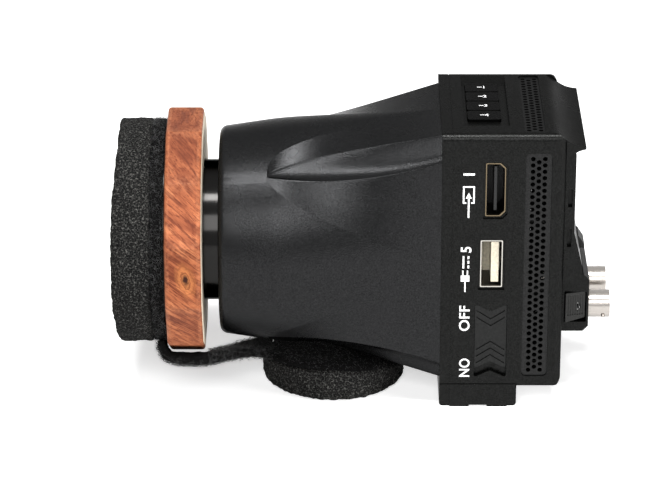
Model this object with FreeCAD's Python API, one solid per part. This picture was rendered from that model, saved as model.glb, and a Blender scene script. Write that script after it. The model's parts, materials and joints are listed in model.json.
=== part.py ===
import FreeCAD, Part
import math
import os

# An electronic viewfinder: a screen housing with a foot, and a loupe with a focusing eyepiece.
# Millimetres. +X runs along the optical axis from the eye to the battery side, +Z is up.
# The origin is the mouth of the tripod thread, in the middle of the underside of the foot.

# Screen housing
house_len = 31.2
house_w = 43.0
house_h = 70.4
house_wall = 2.0
bezel_len = 2.7
long_edge_r = 1.8
back_top_r = 3.0
back_side_r = 2.0
bezel_side_frame = 4.5
bezel_end_frame = 6.7
window_r = 1.5
seam_line_w = 0.2
seam_line_depth = 0.15
tongue_thick = 1.0
tongue_len = 1.8
hook_lug_w = 5.0
hook_lug_h = 0.6
hook_lug_len = 0.9

# Foot under the housing
foot_h = 5.4
foot_len = 19.9
foot_corner_r = 1.0
foot_post_len = 2.4
foot_post_step = 0.5
groove_w = 4.6
groove_depth = 0.5
thread_from_front = 10.0
thread_core_r = 2.55
insert_r = 4.2
insert_len = 7.2
insert_end = 1.0
insert_groove_share = (0.4, 0.6)
insert_groove_depth = 0.4
insert_boss_wall = 1.2

# Clearances
run_gap = 0.05
seat_gap = 0.02
cap_gap = 0.12
air_gap = 0.3
fuse_bite = 0.5
cut_over = 1.0

# Fasteners, as small, medium and long screws
screw_r = 0.8
screw_head_r = 1.4
screw_head_h = 0.7
boss_r = 1.7
long_screw_r = 1.0
long_head_r = 1.75
long_head_h = 1.1
long_boss_r = 2.0
long_boss_past_tray = 0.8
head_sunk = 0.2
screw_end_gap = 0.4
head_slot_share = 1.3
head_slot_w = 0.35

# Display stack behind the bezel
gasket_thick = 0.5
gasket_lip = 1.0
panel_thick = 1.5
backlight_thick = 2.2
tray_thick = 0.5
tray_ear_w = 4.4
tray_window_share = 0.5
backlight_inset = 0.3
sheet_corner_r = 0.6
tray_screw_y = 9.0
screw_row_in = 1.9
screw_row_y = 14.0

# Main board and what it carries
board_thick = 1.2
board_end_inset = 4.9
board_near_inset = 0.3
board_far_inset = 2.0
board_boss_r = 2.0
board_screw_reach = 4.0
chip_y = 1.0
chip_z = 1.0
chip_size = 14.0
chip_thick = 1.6
spreader_w = 20.0
spreader_h = 28.0
spreader_thick = 1.5
fin_count = 6
fin_thick = 0.8
fin_h = 3.0

# Video input socket in the near side
video_x = 3.55
video_z = 20.15
video_in_w = 14.0
video_in_h = 4.55
video_chamfer = 1.3
video_depth = 11.5
socket_sheet = 0.25
socket_inset = 0.6
socket_recess = 0.45
socket_corner_r = 0.3
video_tongue_thick = 0.7
video_tongue_inset = 1.0
video_rear_share = 0.7

# Power input socket in the near side
usb_x = 2.85
usb_z = -0.3
usb_in_w = 12.5
usb_in_h = 5.12
usb_depth = 13.0
usb_tongue_w = 11.1
usb_tongue_thick = 1.9
usb_tongue_shift = 0.9
usb_tongue_inset = 1.2
usb_rear_share = 0.75
usb_foot_z = 4.5
usb_foot_size = (2.0, 1.5)
usb_foot_share = 0.7

# Sliding power switch in the near side
switch_x = 2.95
switch_top_z = -11.4
switch_recess_w = 8.3
switch_recess_h = 20.8
switch_recess_depth = 1.15
switch_travel = 2.4
switch_notch = 2.0
switch_corner_r = 0.5
switch_cap_thick = 0.8
switch_stem_w = 2.4
switch_stem_h = 3.6
switch_stem_len = 2.4
switch_body_w = 5.0
switch_body_h = 10.0
switch_body_depth = 4.6
chevron_depth = 0.3
chevron_thick = 0.5
chevron_rise = 2.4
upper_chevrons = 2
lower_chevrons = 3
chevron_pitch = 1.9
chevron_in = 0.5
upper_chevron_in = 2.3
lower_chevron_in = 1.7
stem_bite = 0.2

# Function keys in the top face
key_count = 4
key_pitch = 6.3
key_len = 8.4
key_wide = 5.8
key_x = 0.9
key_board_off_wall = 0.35
key_recess_x = (-4.3, 7.1)
key_recess_from_mid = (-17.25, 16.75)
key_recess_depth = 1.0
key_frame_wall = 1.0
key_scoop_len = 4.5
key_scoop_r = 2.0
key_scoop_near_r = 0.4
key_floor_thick = 2.0
key_proud = 0.7
key_travel = 0.5
key_flange = 0.8
key_flange_thick = 0.8
key_flange_in = 0.2
key_stem_r = 1.2
key_stem_len = 0.7
key_corner_r = 0.6
tact_size = 4.8
tact_h = 0.85
tact_plunger_h = 0.2
key_board_thick = 0.8
key_board_len = 7.8
key_board_x = 1.7
key_screw_reach = 15.4
key_screw_len = 1.8
key_press_gap = 0.15

# Vent grilles
side_vent_from_back = 6.9
side_vent_w = 6.6
side_vent_z = (-31.8, 30.2)
top_vent_from_back = 7.9
top_vent_w = 5.2
top_vent_y = (-19.0, 19.0)
vent_recess = 0.4
vent_plate = 0.9
vent_ledge = 0.6
vent_hole_r = 0.6
vent_pitch = 1.73
vent_columns = 3
vent_corner_r = 1.2

# Curved end stop above the battery bay
stop_front_from_back = 4.75
stop_curve_from_back = 4.0
stop_curve_lead = 3.0
stop_depth = 1.2
stop_half_w = 19.8
stop_reach = 4.9
stop_tip_z = 31.4
stop_tip_thick = 0.7
stop_low_z = 29.5
stop_foot_thick = 2.0
stop_step_len = 1.7

# Battery mounting plate
plate_half_w = 19.0
plate_top_z = 29.2
plate_thick = 2.6
ramp_top_z = 7.5
ramp_low_z = -2.0
plate_low_z = -6.9
ramp_thick = 4.9
rail_w = 2.2
rail_h = 1.0
hook_w = 5.0
hook_depth = 1.2
hook_z = (17.0, 6.0)
plate_field_in = (1.0, 1.6)
hook_slot_x = (0.8, 1.9)
plate_screw_y = 12.5
plate_screw_z = 24.5
terminal_w = 17.0
terminal_z = (9.0, 14.5)
terminal_proud = 0.8
blade_count = 5
blade_pitch = 3.0
blade_thick = 0.6
blade_slot_w = 1.6
blade_slot_in = 0.8
blade_slot_depth = 1.0
blade_end_gap = 0.4
blade_tip_gap = 0.1
terminal_behind = 0.2
terminal_hole_in = 1.0

# Coax block, battery release and latch
coax_block_half_w = 13.0
coax_block_z = (-23.0, -7.0)
coax_block_thick = 7.3
coax_block_chamfer = 1.4
coax_y = 7.2
coax_z = -17.8
coax_r = 3.6
coax_bore_r = 2.7
coax_proud = 5.7
coax_seat_depth = 0.5
coax_floor_from_face = 0.7
coax_disc_thick = 1.6
coax_neck_r = 2.6
coax_nut_af = 7.0
coax_nut_thick = 1.5
coax_neck_past_nut = 0.4
coax_pin_in = 1.2
coax_pin_r = 0.6
coax_groove_x = (0.45, 0.65)
coax_groove_depth = 0.15
lug_r = 0.5
lug_proud = 0.45
lug_from_end = 1.7
lug_turn_deg = 35.0
release_from_back = (1.1, 6.6)
release_z = (-20.3, -12.0)
release_proud = 0.9
release_depth = 2.6
release_travel = 1.0
release_face_slope = 0.26
release_low_rise = 1.1
release_ribs = 7
rib_depth = 0.3
rib_edge = 0.6
rib_end = 0.8
rib_share = (0.25, 0.75)
release_corner_r = 0.5
spring_r = 1.3
spring_recess = 1.5
spring_wire_r = 0.22
spring_turns = 5
latch_half_w = 3.0
latch_z = (-4.0, -0.5)
latch_proud = 1.6
latch_inner_from_back = 0.4
latch_land = 1.0

# Loupe
loupe_len = 56.4
loupe_wall = 2.0
loupe_end_w = 44.0
loupe_end_h = 67.4
nose_r = 26.7
nose_lip = 1.6
nose_face = 3.0
tip_r = 28.5
tip_from_nose = 12.45
ridge_deg = 51.85
ridge_gap_deg = 0.4
crease_gap_deg = 1.2
flute_side_in = 4.2
flute_top_in = 5.8
flute_sag = 1.5
top_ridge_bow = 4.3
loupe_stations = 11
loupe_screw_in = 2.3
loupe_screw_z = 24.0
loupe_boss_len = 8.0
loupe_screw_end = 1.5
guide_web_from_sleeve = 5.6
guide_web_thick = 2.0
guide_wall = 2.2
guide_start = 1.0
guide_end_gap = 0.6

# Eyepiece and focus ring
sleeve_r = 18.2
sleeve_wall = 1.75
sleeve_inside = 8.4
nose_to_ring = 4.1
ring_len = 9.2
ring_corner_r = 31.8
ring_edge_r = 0.5
ring_sides = 12
sleeve_flange_r = 26.0
sleeve_flange_thick = 1.2
ring_screw_r = 22.5
ring_screw_count = 6
ring_screw_len = 4.3
ring_hole_depth = 5.2
barrel_wall = 1.4
barrel_past_sleeve = 11.0
barrel_flange_r = 27.5
barrel_flange_thick = 1.4
clip_thick = 0.8
clip_proud = 0.9
clip_groove_depth = 0.6
clip_mouth = 5.0
key_lug_w = 3.0
key_lug_proud = 0.9
key_lug_len = 8.6
eye_lens_edge = 3.2
eye_lens_bulge = 2.2
field_lens_edge = 2.6
field_lens_bulge = 1.6
spacer_len = 4.2
lens_stop = 1.0
lens_land = 1.3
retainer_len = 2.0
lens_from_face = 5.2
spacer_wall = 0.8
retainer_wall = 1.2

# Eye cushion, from the barrel flange outwards
hook_thick = 0.8
hook_r = 27.5
backing_thick = 1.2
backing_r = 28.4
cushion_r = 29.0
cushion_hole_r = 18.3
cushion_thick = 9.8
cushion_hollow = 1.5

# Flap pad on its strap, folded back under the loupe
flap_lean_deg = 24.5
strap_thick = 2.5
strap_w = 18.0
strap_ring_gap = 0.35
strap_outer_bend_r = 3.9
strap_inner_bend_r = 1.4
hinge_behind_ring = 2.5
hinge_off_cushion = 0.3
strap_tab_w = 12.0
strap_mid_lean_deg = 17.0
strap_mid_y = -11.5
strap_mid_z = -31.0
strap_end_thick = 1.6
strap_before_pad = 0.5
strap_onto_pad = 3.0
pad_r = 18.75
pad_rim_r = 3.0
pad_x = -37.2
pad_y = -0.5
pad_mid_top_z = -34.5
pad_side_slope = 0.17
pad_front_top_z = -31.3
pad_front_slope = 0.16
pad_backing_thick = 1.3
pad_backing_front_thick = 0.45
pad_backing_len = 30.5

# Places that follow from the sizes above
front_x = -thread_from_front
seam_x = front_x + bezel_len
back_x = front_x + house_len
half_w = house_w / 2
half_h = house_h / 2
axis_z = foot_h + half_h
top_z = foot_h + house_h
inner_y = half_w - house_wall
inner_z = half_h - house_wall
wall_x = back_x - house_wall
nose_x = front_x - loupe_len
ring_front_x = nose_x - nose_to_ring
ring_back_x = ring_front_x - ring_len
flange_x = ring_back_x - air_gap
hook_x = flange_x - barrel_flange_thick
backing_x = hook_x - hook_thick
cushion_x = backing_x - backing_thick
barrel_r = sleeve_r - sleeve_wall - run_gap
window_w = house_w - 2 * bezel_side_frame
window_h = house_h - 2 * bezel_end_frame
panel_w = window_w + 2 * gasket_lip
panel_h = window_h + 2 * gasket_lip
screw_row_z = inner_z - screw_row_in
side_vent_x = back_x - side_vent_from_back
top_vent_x = back_x - top_vent_from_back
stop_front_x = back_x - stop_front_from_back
stop_curve_x = back_x - stop_curve_from_back
release_x = (back_x + release_from_back[0], back_x + release_from_back[1])
latch_inner_x = back_x + latch_inner_from_back
board_h = 2 * (inner_z - board_end_inset)
gasket_x = seam_x
panel_x = gasket_x + gasket_thick
backlight_x = panel_x + panel_thick
tray_x = backlight_x + backlight_thick
tray_back_x = tray_x + tray_thick
long_boss_end = tray_back_x + long_boss_past_tray
board_x = video_x + video_in_h / 2 + socket_sheet
board_back_x = board_x + board_thick

V = FreeCAD.Vector


# Shapes that repeat

def block(x, y, z):
    """A box between the low and high ends given for each axis."""
    return Part.makeBox(x[1] - x[0], y[1] - y[0], z[1] - z[0], V(x[0], y[0], z[0]))


def rod_x(radius, x, y=0.0, z=0.0):
    """A cylinder along X between two ends."""
    return Part.makeCylinder(radius, x[1] - x[0], V(x[0], y, z), V(1, 0, 0))


def rod_y(radius, y, x=0.0, z=0.0):
    """A cylinder along Y between two ends."""
    return Part.makeCylinder(radius, y[1] - y[0], V(x, y[0], z), V(0, 1, 0))


def rod_z(radius, z, x=0.0, y=0.0):
    """A cylinder along Z between two ends."""
    return Part.makeCylinder(radius, z[1] - z[0], V(x, y, z[0]), V(0, 0, 1))


def tube_x(outer, inner, x, y=0.0, z=0.0):
    """A pipe along X."""
    return rod_x(outer, x, y, z).cut(rod_x(inner, (x[0] - 1, x[1] + 1), y, z))


def up(height):
    """Height above the floor of a height given from the optical axis."""
    return axis_z + height


def span(middle, size):
    """The two ends of a size about its middle."""
    return (middle - size / 2, middle + size / 2)


def place(plane, u, v, w):
    """A point of a flat outline in the named plane, at depth w."""
    if plane == "xz":
        return V(u, w, v)
    if plane == "xy":
        return V(u, v, w)
    return V(w, u, v)


def outline(plane, corners, depth):
    """A closed outline through (u, v, radius) corners, each rounded by its radius."""
    starts = []
    arcs = []
    ends = []
    for index, (u, v, radius) in enumerate(corners):
        before = corners[index - 1]
        after = corners[(index + 1) % len(corners)]
        corner = V(u, v, 0)
        back = (V(before[0], before[1], 0) - corner).normalize()
        ahead = (V(after[0], after[1], 0) - corner).normalize()
        if radius <= 0:
            starts.append(corner)
            arcs.append(None)
            ends.append(corner)
            continue
        half_angle = back.getAngle(ahead) / 2
        reach = radius / math.tan(half_angle)
        middle = (back + ahead).normalize() * (radius / math.sin(half_angle) - radius)
        starts.append(corner + back * reach)
        arcs.append(corner + middle)
        ends.append(corner + ahead * reach)
    edges = []
    for index in range(len(corners)):
        start = place(plane, starts[index].x, starts[index].y, depth)
        end = place(plane, ends[index].x, ends[index].y, depth)
        if arcs[index] is not None:
            bend = place(plane, arcs[index].x, arcs[index].y, depth)
            edges.append(Part.Arc(start, bend, end).toShape())
        following = starts[(index + 1) % len(corners)]
        next_start = place(plane, following.x, following.y, depth)
        if end.distanceToPoint(next_start) > 1e-6:
            edges.append(Part.LineSegment(end, next_start).toShape())
    return Part.Wire(edges)


def prism(plane, corners, depth):
    """A flat outline carried from one depth to another along the plane's normal."""
    face = Part.Face(outline(plane, corners, depth[0]))
    along = place(plane, 0, 0, depth[1] - depth[0])
    return face.extrude(along)


def rectangle(u, v, radius):
    """Corners of a rectangle with one corner radius."""
    return [(u[0], v[0], radius), (u[1], v[0], radius), (u[1], v[1], radius), (u[0], v[1], radius)]


def join(shapes):
    """One solid from several that touch or overlap."""
    return shapes[0].multiFuse(shapes[1:]).removeSplitter()


def screw_x(radius, head_r, head_h, under_head_x, length, y, z, direction):
    """A screw along X, with its head on the far side of the named face from the shank."""
    end_x = under_head_x + direction * length
    head_x = under_head_x - direction * head_h
    shank = rod_x(radius, (min(under_head_x, end_x), max(under_head_x, end_x)), y, z)
    head = rod_x(head_r, (min(under_head_x, head_x), max(under_head_x, head_x)), y, z)
    slot_x = sorted((head_x, head_x + direction * head_h / 2))
    slot = block(slot_x, span(y, head_r * head_slot_share), span(z, head_slot_w))
    return shank.fuse(head).cut(slot)


def mirrored(points):
    """Points (y, z) repeated in all four quadrants."""
    return [(side * y, level * z) for y, z in points for side in (-1, 1) for level in (-1, 1)]


def save(name, shape):
    """Write one sub-part to its own file."""
    shape.exportStep("parts/" + name + ".step")


# Screen housing

housing_screws_at = [(-screw_row_y, -screw_row_z), (screw_row_y, -screw_row_z)]
tray_screws_at = [(-tray_screw_y, -screw_row_z), (tray_screw_y, -screw_row_z)]
board_screws_at = [(-16.0, 9.6), (-16.0, -9.6), (15.0, 24.0), (15.0, -24.0)]
loupe_screws_at = mirrored([(half_w - loupe_screw_in, loupe_screw_z)])
key_mid_y = inner_y - key_board_off_wall - boss_r - key_screw_reach
key_recess_y = (key_mid_y + key_recess_from_mid[0], key_mid_y + key_recess_from_mid[1])
board_top = up(board_h / 2)
board_low = up(-board_h / 2)
key_under_z = top_z - key_recess_depth - key_floor_thick
key_stack = key_flange_thick + key_stem_len + key_travel + key_press_gap + tact_plunger_h + tact_h
key_board_top = key_under_z - key_stack


def housing_outline():
    """The outside of the whole housing, rounded at its long edges and round its back."""
    low = up(-half_h)
    side = prism("xz", [(front_x, low, 0), (back_x, low, back_top_r), (back_x, top_z, back_top_r),
                        (front_x, top_z, 0)], (-half_w, half_w))
    plan = prism("xy", [(front_x, -half_w, 0), (back_x, -half_w, back_side_r), (back_x, half_w, back_side_r),
                        (front_x, half_w, 0)], (low, top_z))
    end = prism("yz", rectangle((-half_w, half_w), (low, top_z), long_edge_r), (front_x, back_x))
    return side.common(plan).common(end)


def foot_outline():
    """The foot with its lower corners rounded and its two end posts set back a little."""
    end_x = front_x + foot_len
    foot = prism("xz", [(front_x, 0, foot_corner_r), (end_x, 0, foot_corner_r),
                        (end_x, foot_h + house_wall / 2, 0), (front_x, foot_h + house_wall / 2, 0)],
                 (-half_w, half_w))
    for side in (-1, 1):
        near = sorted((side * (half_w - foot_post_step), side * (half_w + 1)))
        foot = foot.cut(block((end_x - foot_post_len, end_x + 1), near, (-1, foot_h)))
        foot = foot.cut(block((front_x - 1, seam_x), near, (-1, foot_h)))
    return foot.cut(block(span(0, groove_w), (-half_w - 1, half_w + 1), (-1, groove_depth)))


def seam_line():
    """The shallow groove that runs round the housing where the bezel meets the rear shell."""
    x = span(seam_x, seam_line_w)
    low = up(-half_h)
    around = block(x, (-half_w - 1, half_w + 1), (low - seam_line_depth, top_z + 1))
    inside = rectangle((seam_line_depth - half_w, half_w - seam_line_depth),
                       (low + seam_line_depth, top_z - seam_line_depth), long_edge_r - seam_line_depth)
    under = block(x, (-half_w - 1, half_w + 1), (-1, low + long_edge_r))
    return around.cut(prism("yz", inside, x)).cut(under)


def bezel_hooks(grow):
    """Two lugs on top of the bezel's lip that catch in the roof of the rear shell."""
    lip_top = up(inner_z - 2 * run_gap)
    back = seam_x + tongue_len
    x = (back - hook_lug_len - grow, back + grow)
    z = (lip_top - fuse_bite / 2, lip_top + hook_lug_h + grow)
    return [block(x, span(side * screw_row_y, hook_lug_w + 2 * grow), z) for side in (-1, 1)]


def front_bezel():
    body = housing_outline().fuse(foot_outline())
    body = body.common(block((front_x, seam_x), (-half_w, half_w), (0, top_z)))
    window = prism("yz", rectangle(span(0, window_w), span(axis_z, window_h), window_r),
                   (front_x - 1, seam_x + 1))
    lip_y = inner_y - 2 * run_gap
    lip_z = inner_z - 2 * run_gap
    lip = block((seam_x - fuse_bite, seam_x + tongue_len), (-lip_y, lip_y), (up(-lip_z), up(lip_z)))
    lip = lip.cut(block((seam_x - 1, seam_x + tongue_len + 1),
                        (tongue_thick - lip_y, lip_y - tongue_thick),
                        (up(tongue_thick - lip_z), up(lip_z - tongue_thick))))
    for y, z in loupe_screws_at:
        lip = lip.cut(rod_x(screw_head_r + air_gap * 3, (seam_x, seam_x + tongue_len + 1), y, up(z)))
    body = join([body, lip] + bezel_hooks(0.0))
    for y, z in housing_screws_at:
        body = body.fuse(rod_x(boss_r, (seam_x - fuse_bite, long_boss_end), y, up(z)))
    for y, z in tray_screws_at:
        body = body.fuse(rod_x(boss_r, (seam_x - fuse_bite, tray_x), y, up(z)))
    body = body.cut(window)
    for y, z in housing_screws_at:
        body = body.cut(rod_x(long_screw_r + seat_gap, (seam_x, long_boss_end + 1), y, up(z)))
    for y, z in tray_screws_at:
        body = body.cut(rod_x(screw_r + seat_gap, (seam_x, tray_x + 1), y, up(z)))
    for y, z in loupe_screws_at:
        body = body.cut(rod_x(screw_r + cap_gap, (front_x - 1, seam_x + 1), y, up(z)))
        body = body.cut(rod_x(screw_head_r + cap_gap, (seam_x - screw_head_h - cap_gap, seam_x + 1), y,
                              up(z)))
    return body.cut(seam_line()).removeSplitter()


def switch_corners(top, height, width, notch, radius):
    """A strip notched inwards by a shallow V at both ends."""
    left = switch_x - width / 2
    right = switch_x + width / 2
    low = top - height
    return [(left, top, radius), (switch_x, top - notch, radius), (right, top, radius),
            (right, low, radius), (switch_x, low + notch, radius), (left, low, radius)]


def vent_opening(plane, u, v, outer_depth, inner_depth, direction):
    """The pocket for a grille plate and the smaller opening behind it."""
    floor = outer_depth - direction * (vent_recess + vent_plate)
    pocket = prism(plane, rectangle(u, v, vent_corner_r), tuple(sorted((outer_depth + direction, floor))))
    inner_u = (u[0] + vent_ledge, u[1] - vent_ledge)
    inner_v = (v[0] + vent_ledge, v[1] - vent_ledge)
    through = prism(plane, rectangle(inner_u, inner_v, vent_corner_r - vent_ledge),
                    tuple(sorted((outer_depth, inner_depth))))
    return pocket.fuse(through)


def rear_shell():
    body = housing_outline().fuse(foot_outline())
    body = body.common(block((seam_x, back_x), (-half_w, half_w), (0, top_z)))
    body = body.cut(block((seam_x - 1, wall_x), (-inner_y, inner_y), (up(-inner_z), up(inner_z))))

    # Bosses and thick places inside
    extra = [block((key_recess_x[0] - key_frame_wall, key_recess_x[1] + key_frame_wall),
                   (key_recess_y[0] - key_frame_wall, inner_y + fuse_bite),
                   (key_under_z, top_z - house_wall / 2))]
    extra.append(rod_z(insert_r + insert_boss_wall, (foot_h, insert_len + insert_boss_wall)))
    for y, z in housing_screws_at:
        extra.append(rod_x(long_boss_r, (long_boss_end, wall_x + fuse_bite), y, up(z)))
    for y, z in board_screws_at:
        extra.append(rod_x(board_boss_r, (board_back_x, wall_x + fuse_bite), y, up(z)))
    for side in (-1, 1):
        extra.append(rod_z(boss_r, (key_board_top, key_under_z + fuse_bite), key_board_x,
                           key_mid_y + side * key_screw_reach))
    body = join([body] + extra)

    # Screw holes
    for y, z in housing_screws_at:
        body = body.cut(rod_x(long_screw_r + cap_gap, (long_boss_end - 1, back_x + 1), y, up(z)))
        body = body.cut(rod_x(long_head_r + cap_gap, (back_x - long_head_h - head_sunk, back_x + 1), y,
                              up(z)))
    for y, z in board_screws_at:
        hole_x = (board_back_x - 1, board_back_x + board_screw_reach + head_sunk)
        body = body.cut(rod_x(screw_r + seat_gap, hole_x, y, up(z)))
    for side in (-1, 1):
        hole_z = (key_board_top - 1, key_board_top + key_screw_len + head_sunk)
        body = body.cut(rod_z(screw_r + seat_gap, hole_z, key_board_x, key_mid_y + side * key_screw_reach))
        body = body.cut(rod_x(screw_r + seat_gap, (wall_x - 1, back_x + 1), side * plate_screw_y,
                              up(plate_screw_z)))
    body = body.cut(rod_z(insert_r + seat_gap, (-1, insert_len)))

    # Sockets in the near side
    near = (-half_w - 1, -inner_y + 1)
    body = body.cut(video_prism(near, socket_sheet + cap_gap))
    recess_y = (-half_w - 1, -half_w + socket_inset)
    body = body.cut(video_prism(recess_y, socket_sheet + cap_gap + socket_recess))
    usb_hole = usb_rectangle(socket_sheet + cap_gap)
    body = body.cut(prism("xz", usb_hole, near))
    body = body.cut(prism("xz", usb_rectangle(socket_sheet + cap_gap + socket_recess), recess_y))

    # Switch recess with the slot for the stem
    recess = switch_corners(up(switch_top_z), switch_recess_h, switch_recess_w, switch_notch, switch_corner_r)
    body = body.cut(prism("xz", recess, (-half_w - 1, -half_w + switch_recess_depth)))
    stem_top = switch_stem_z() + switch_stem_h / 2 + cap_gap
    stem_low = switch_stem_z() - switch_stem_h / 2 - switch_travel - cap_gap
    body = body.cut(block(span(switch_x, switch_stem_w + 2 * cap_gap), near, (stem_low, stem_top)))

    # Key recess, its sloped far end and the key holes
    recess_floor = top_z - key_recess_depth
    scoop = prism("yz", [(key_recess_y[0], top_z + 1, 0), (key_recess_y[0], recess_floor, key_scoop_near_r),
                         (key_recess_y[1] - key_scoop_len, recess_floor, key_scoop_r),
                         (key_recess_y[1], top_z, 0), (key_recess_y[1], top_z + 1, 0)], key_recess_x)
    body = body.cut(scoop)
    for index in range(key_count):
        hole = prism("xy", rectangle(span(key_x, key_len + 2 * cap_gap),
                                     span(key_y(index), key_wide + 2 * cap_gap), key_corner_r + cap_gap),
                     (key_under_z - 1, top_z + 1))
        body = body.cut(hole)

    # Vents
    body = body.cut(side_vent_cut())
    body = body.cut(top_vent_cut())

    # Hook pockets in the roof
    for pocket in bezel_hooks(run_gap * 2):
        body = body.cut(pocket)

    # Seat of the end stop, wiring window behind the battery plate, latch and coax holes
    seat_w = stop_half_w + seat_gap
    seat = block((stop_front_x, back_x + 1), (-seat_w, seat_w), (up(stop_low_z), top_z + 1))
    body = body.cut(seat.cut(under_curve(stop_depth, seat_w + 1)))
    body = body.cut(block((wall_x - 1, back_x + 1), span(0, terminal_w - 2 * terminal_hole_in),
                          (up(terminal_z[0]) + terminal_hole_in, up(terminal_z[1]) - terminal_hole_in)))
    body = body.cut(block((wall_x - 1, back_x + 1), span(0, 2 * (latch_half_w + cap_gap)),
                          (up(latch_z[0]) - cap_gap, up(latch_z[1]) + cap_gap)))
    for side in (-1, 1):
        body = body.cut(rod_x(coax_neck_r + seat_gap, (wall_x - 1, back_x + 1), side * coax_y, up(coax_z)))
    return body.cut(seam_line()).removeSplitter()


def side_vent_cut():
    return vent_opening("xz", span(side_vent_x, side_vent_w), (up(side_vent_z[0]), up(side_vent_z[1])),
                        -half_w, -inner_y + 1, -1)


def top_vent_cut():
    return vent_opening("xy", span(top_vent_x, top_vent_w), top_vent_y, top_z, up(inner_z) - 1, 1)


def grille(plane, u, v, outer_depth, direction):
    """A thin plate with staggered rows of round holes, set into its pocket."""
    outer = outer_depth - direction * vent_recess
    inner = outer - direction * (vent_plate - seat_gap)
    edge_u = (u[0] + seat_gap, u[1] - seat_gap)
    edge_v = (v[0] + seat_gap, v[1] - seat_gap)
    plate = prism(plane, rectangle(edge_u, edge_v, vent_corner_r - seat_gap), tuple(sorted((outer, inner))))
    column_step = vent_pitch * math.sqrt(3) / 2
    length = v[1] - v[0] - 2 * vent_ledge - 2 * vent_hole_r
    rows = int(length / vent_pitch)
    middle_u = (u[0] + u[1]) / 2
    middle_v = (v[0] + v[1]) / 2
    holes = []
    for column in range(vent_columns):
        offset = (column - (vent_columns - 1) / 2) * column_step
        count = rows + 1 if column % 2 == 0 else rows
        for row in range(count):
            along = middle_v + (row - (count - 1) / 2) * vent_pitch
            depth = min(outer, inner) - 0.5
            point = place(plane, middle_u + offset, along, depth)
            holes.append(Part.makeCylinder(vent_hole_r, vent_plate + 1, point, place(plane, 0, 0, 1)))
    return plate.cut(Part.makeCompound(holes))


def tripod_insert():
    body = rod_z(insert_r, (0, insert_len - seat_gap))
    groove = rod_z(insert_r + 1, (insert_len * insert_groove_share[0], insert_len * insert_groove_share[1]))
    groove = groove.cut(rod_z(insert_r - insert_groove_depth, (0, insert_len)))
    return body.cut(rod_z(thread_core_r, (-1, insert_len - insert_end))).cut(groove)


def screws_x(places, radius, head_r, head_h, under_head_x, length, direction):
    """A group of equal screws along X."""
    return Part.makeCompound([screw_x(radius, head_r, head_h, under_head_x, length, y, up(z), direction)
                              for y, z in places])


# Display stack

def display_gasket():
    outer = display_sheet((gasket_x, panel_x), 0.0)
    inner = rectangle(span(0, window_w), span(axis_z, window_h), window_r)
    return outer.cut(prism("yz", inner, (gasket_x - 1, panel_x + 1)))


def display_sheet(x, inset):
    across = span(0, panel_w - 2 * inset)
    return prism("yz", rectangle(across, span(axis_z, panel_h - 2 * inset), sheet_corner_r), x)


def display_tray():
    plate = display_sheet((tray_x, tray_back_x), 0.0)
    ears = [block((tray_x, tray_back_x), span(y, tray_ear_w), (up(z - boss_r), up(fuse_bite - panel_h / 2)))
            for y, z in tray_screws_at]
    tray = plate.multiFuse(ears)
    tray = tray.cut(block((tray_x - 1, tray_back_x + 1), span(0, panel_w * tray_window_share),
                          span(axis_z, panel_h * tray_window_share)))
    for y, z in tray_screws_at:
        tray = tray.cut(rod_x(screw_r + cap_gap, (tray_x - 1, tray_back_x + 1), y, up(z)))
    return tray.removeSplitter()


# Main board

def main_board():
    board = block((board_x, board_back_x), (board_near_inset - inner_y, inner_y - board_far_inset),
                  (board_low, board_top))
    for y, z in board_screws_at:
        board = board.cut(rod_x(screw_r + cap_gap, (board_x - 1, board_back_x + 1), y, up(z)))
    return board


def heat_spreader():
    base_x = board_back_x + chip_thick
    body = block((base_x, base_x + spreader_thick), span(chip_y, spreader_w), span(up(chip_z), spreader_h))
    fins = []
    step = (spreader_h - fin_thick) / (fin_count - 1)
    for index in range(fin_count):
        low = up(chip_z) - spreader_h / 2 + index * step
        fins.append(block((base_x + spreader_thick / 2, base_x + spreader_thick + fin_h),
                          span(chip_y, spreader_w), (low, low + fin_thick)))
    return join([body] + fins)


# Video and power sockets

def video_prism(y, grow):
    """The chamfered mouth of the video socket, grown by a margin and carried along Y."""
    width = video_in_w / 2 + grow
    height = video_in_h / 2 + grow
    z = up(video_z)
    cut = video_chamfer
    corners = [(video_x - height, z - width), (video_x + height - cut, z - width),
               (video_x + height, z - width + cut), (video_x + height, z + width - cut),
               (video_x + height - cut, z + width), (video_x - height, z + width)]
    return prism("xz", [(u, v, socket_corner_r) for u, v in corners], y)


def usb_rectangle(grow):
    """The mouth of the power socket, grown by a margin."""
    return rectangle(span(usb_x, usb_in_h + 2 * grow), span(up(usb_z), usb_in_w + 2 * grow),
                     socket_corner_r)


def video_socket():
    mouth = -half_w + socket_inset
    shell = video_prism((mouth, mouth + video_depth), socket_sheet)
    return shell.cut(video_prism((mouth - 1, mouth + video_depth + 1), 0.0))


def video_tongue():
    mouth = -half_w + socket_inset
    rear = video_prism((mouth + video_depth * video_rear_share, mouth + video_depth), -seat_gap)
    bar = block(span(video_x, video_tongue_thick), (mouth + video_tongue_inset, mouth + video_depth),
                span(up(video_z), video_in_w - 2 * video_tongue_inset))
    return join([rear, bar])


def usb_socket():
    mouth = -half_w + socket_inset
    shell = prism("xz", usb_rectangle(socket_sheet), (mouth, mouth + usb_depth))
    shell = shell.cut(prism("xz", usb_rectangle(0.0), (mouth - 1, mouth + usb_depth + 1)))
    edge = usb_x + usb_in_h / 2 + socket_sheet
    foot_y = span(mouth + usb_depth * usb_foot_share, usb_foot_size[0])
    feet = [block((edge - socket_sheet / 2, board_x), foot_y,
                  span(up(usb_z) + side * usb_foot_z, usb_foot_size[1])) for side in (-1, 1)]
    return join([shell] + feet)


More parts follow.
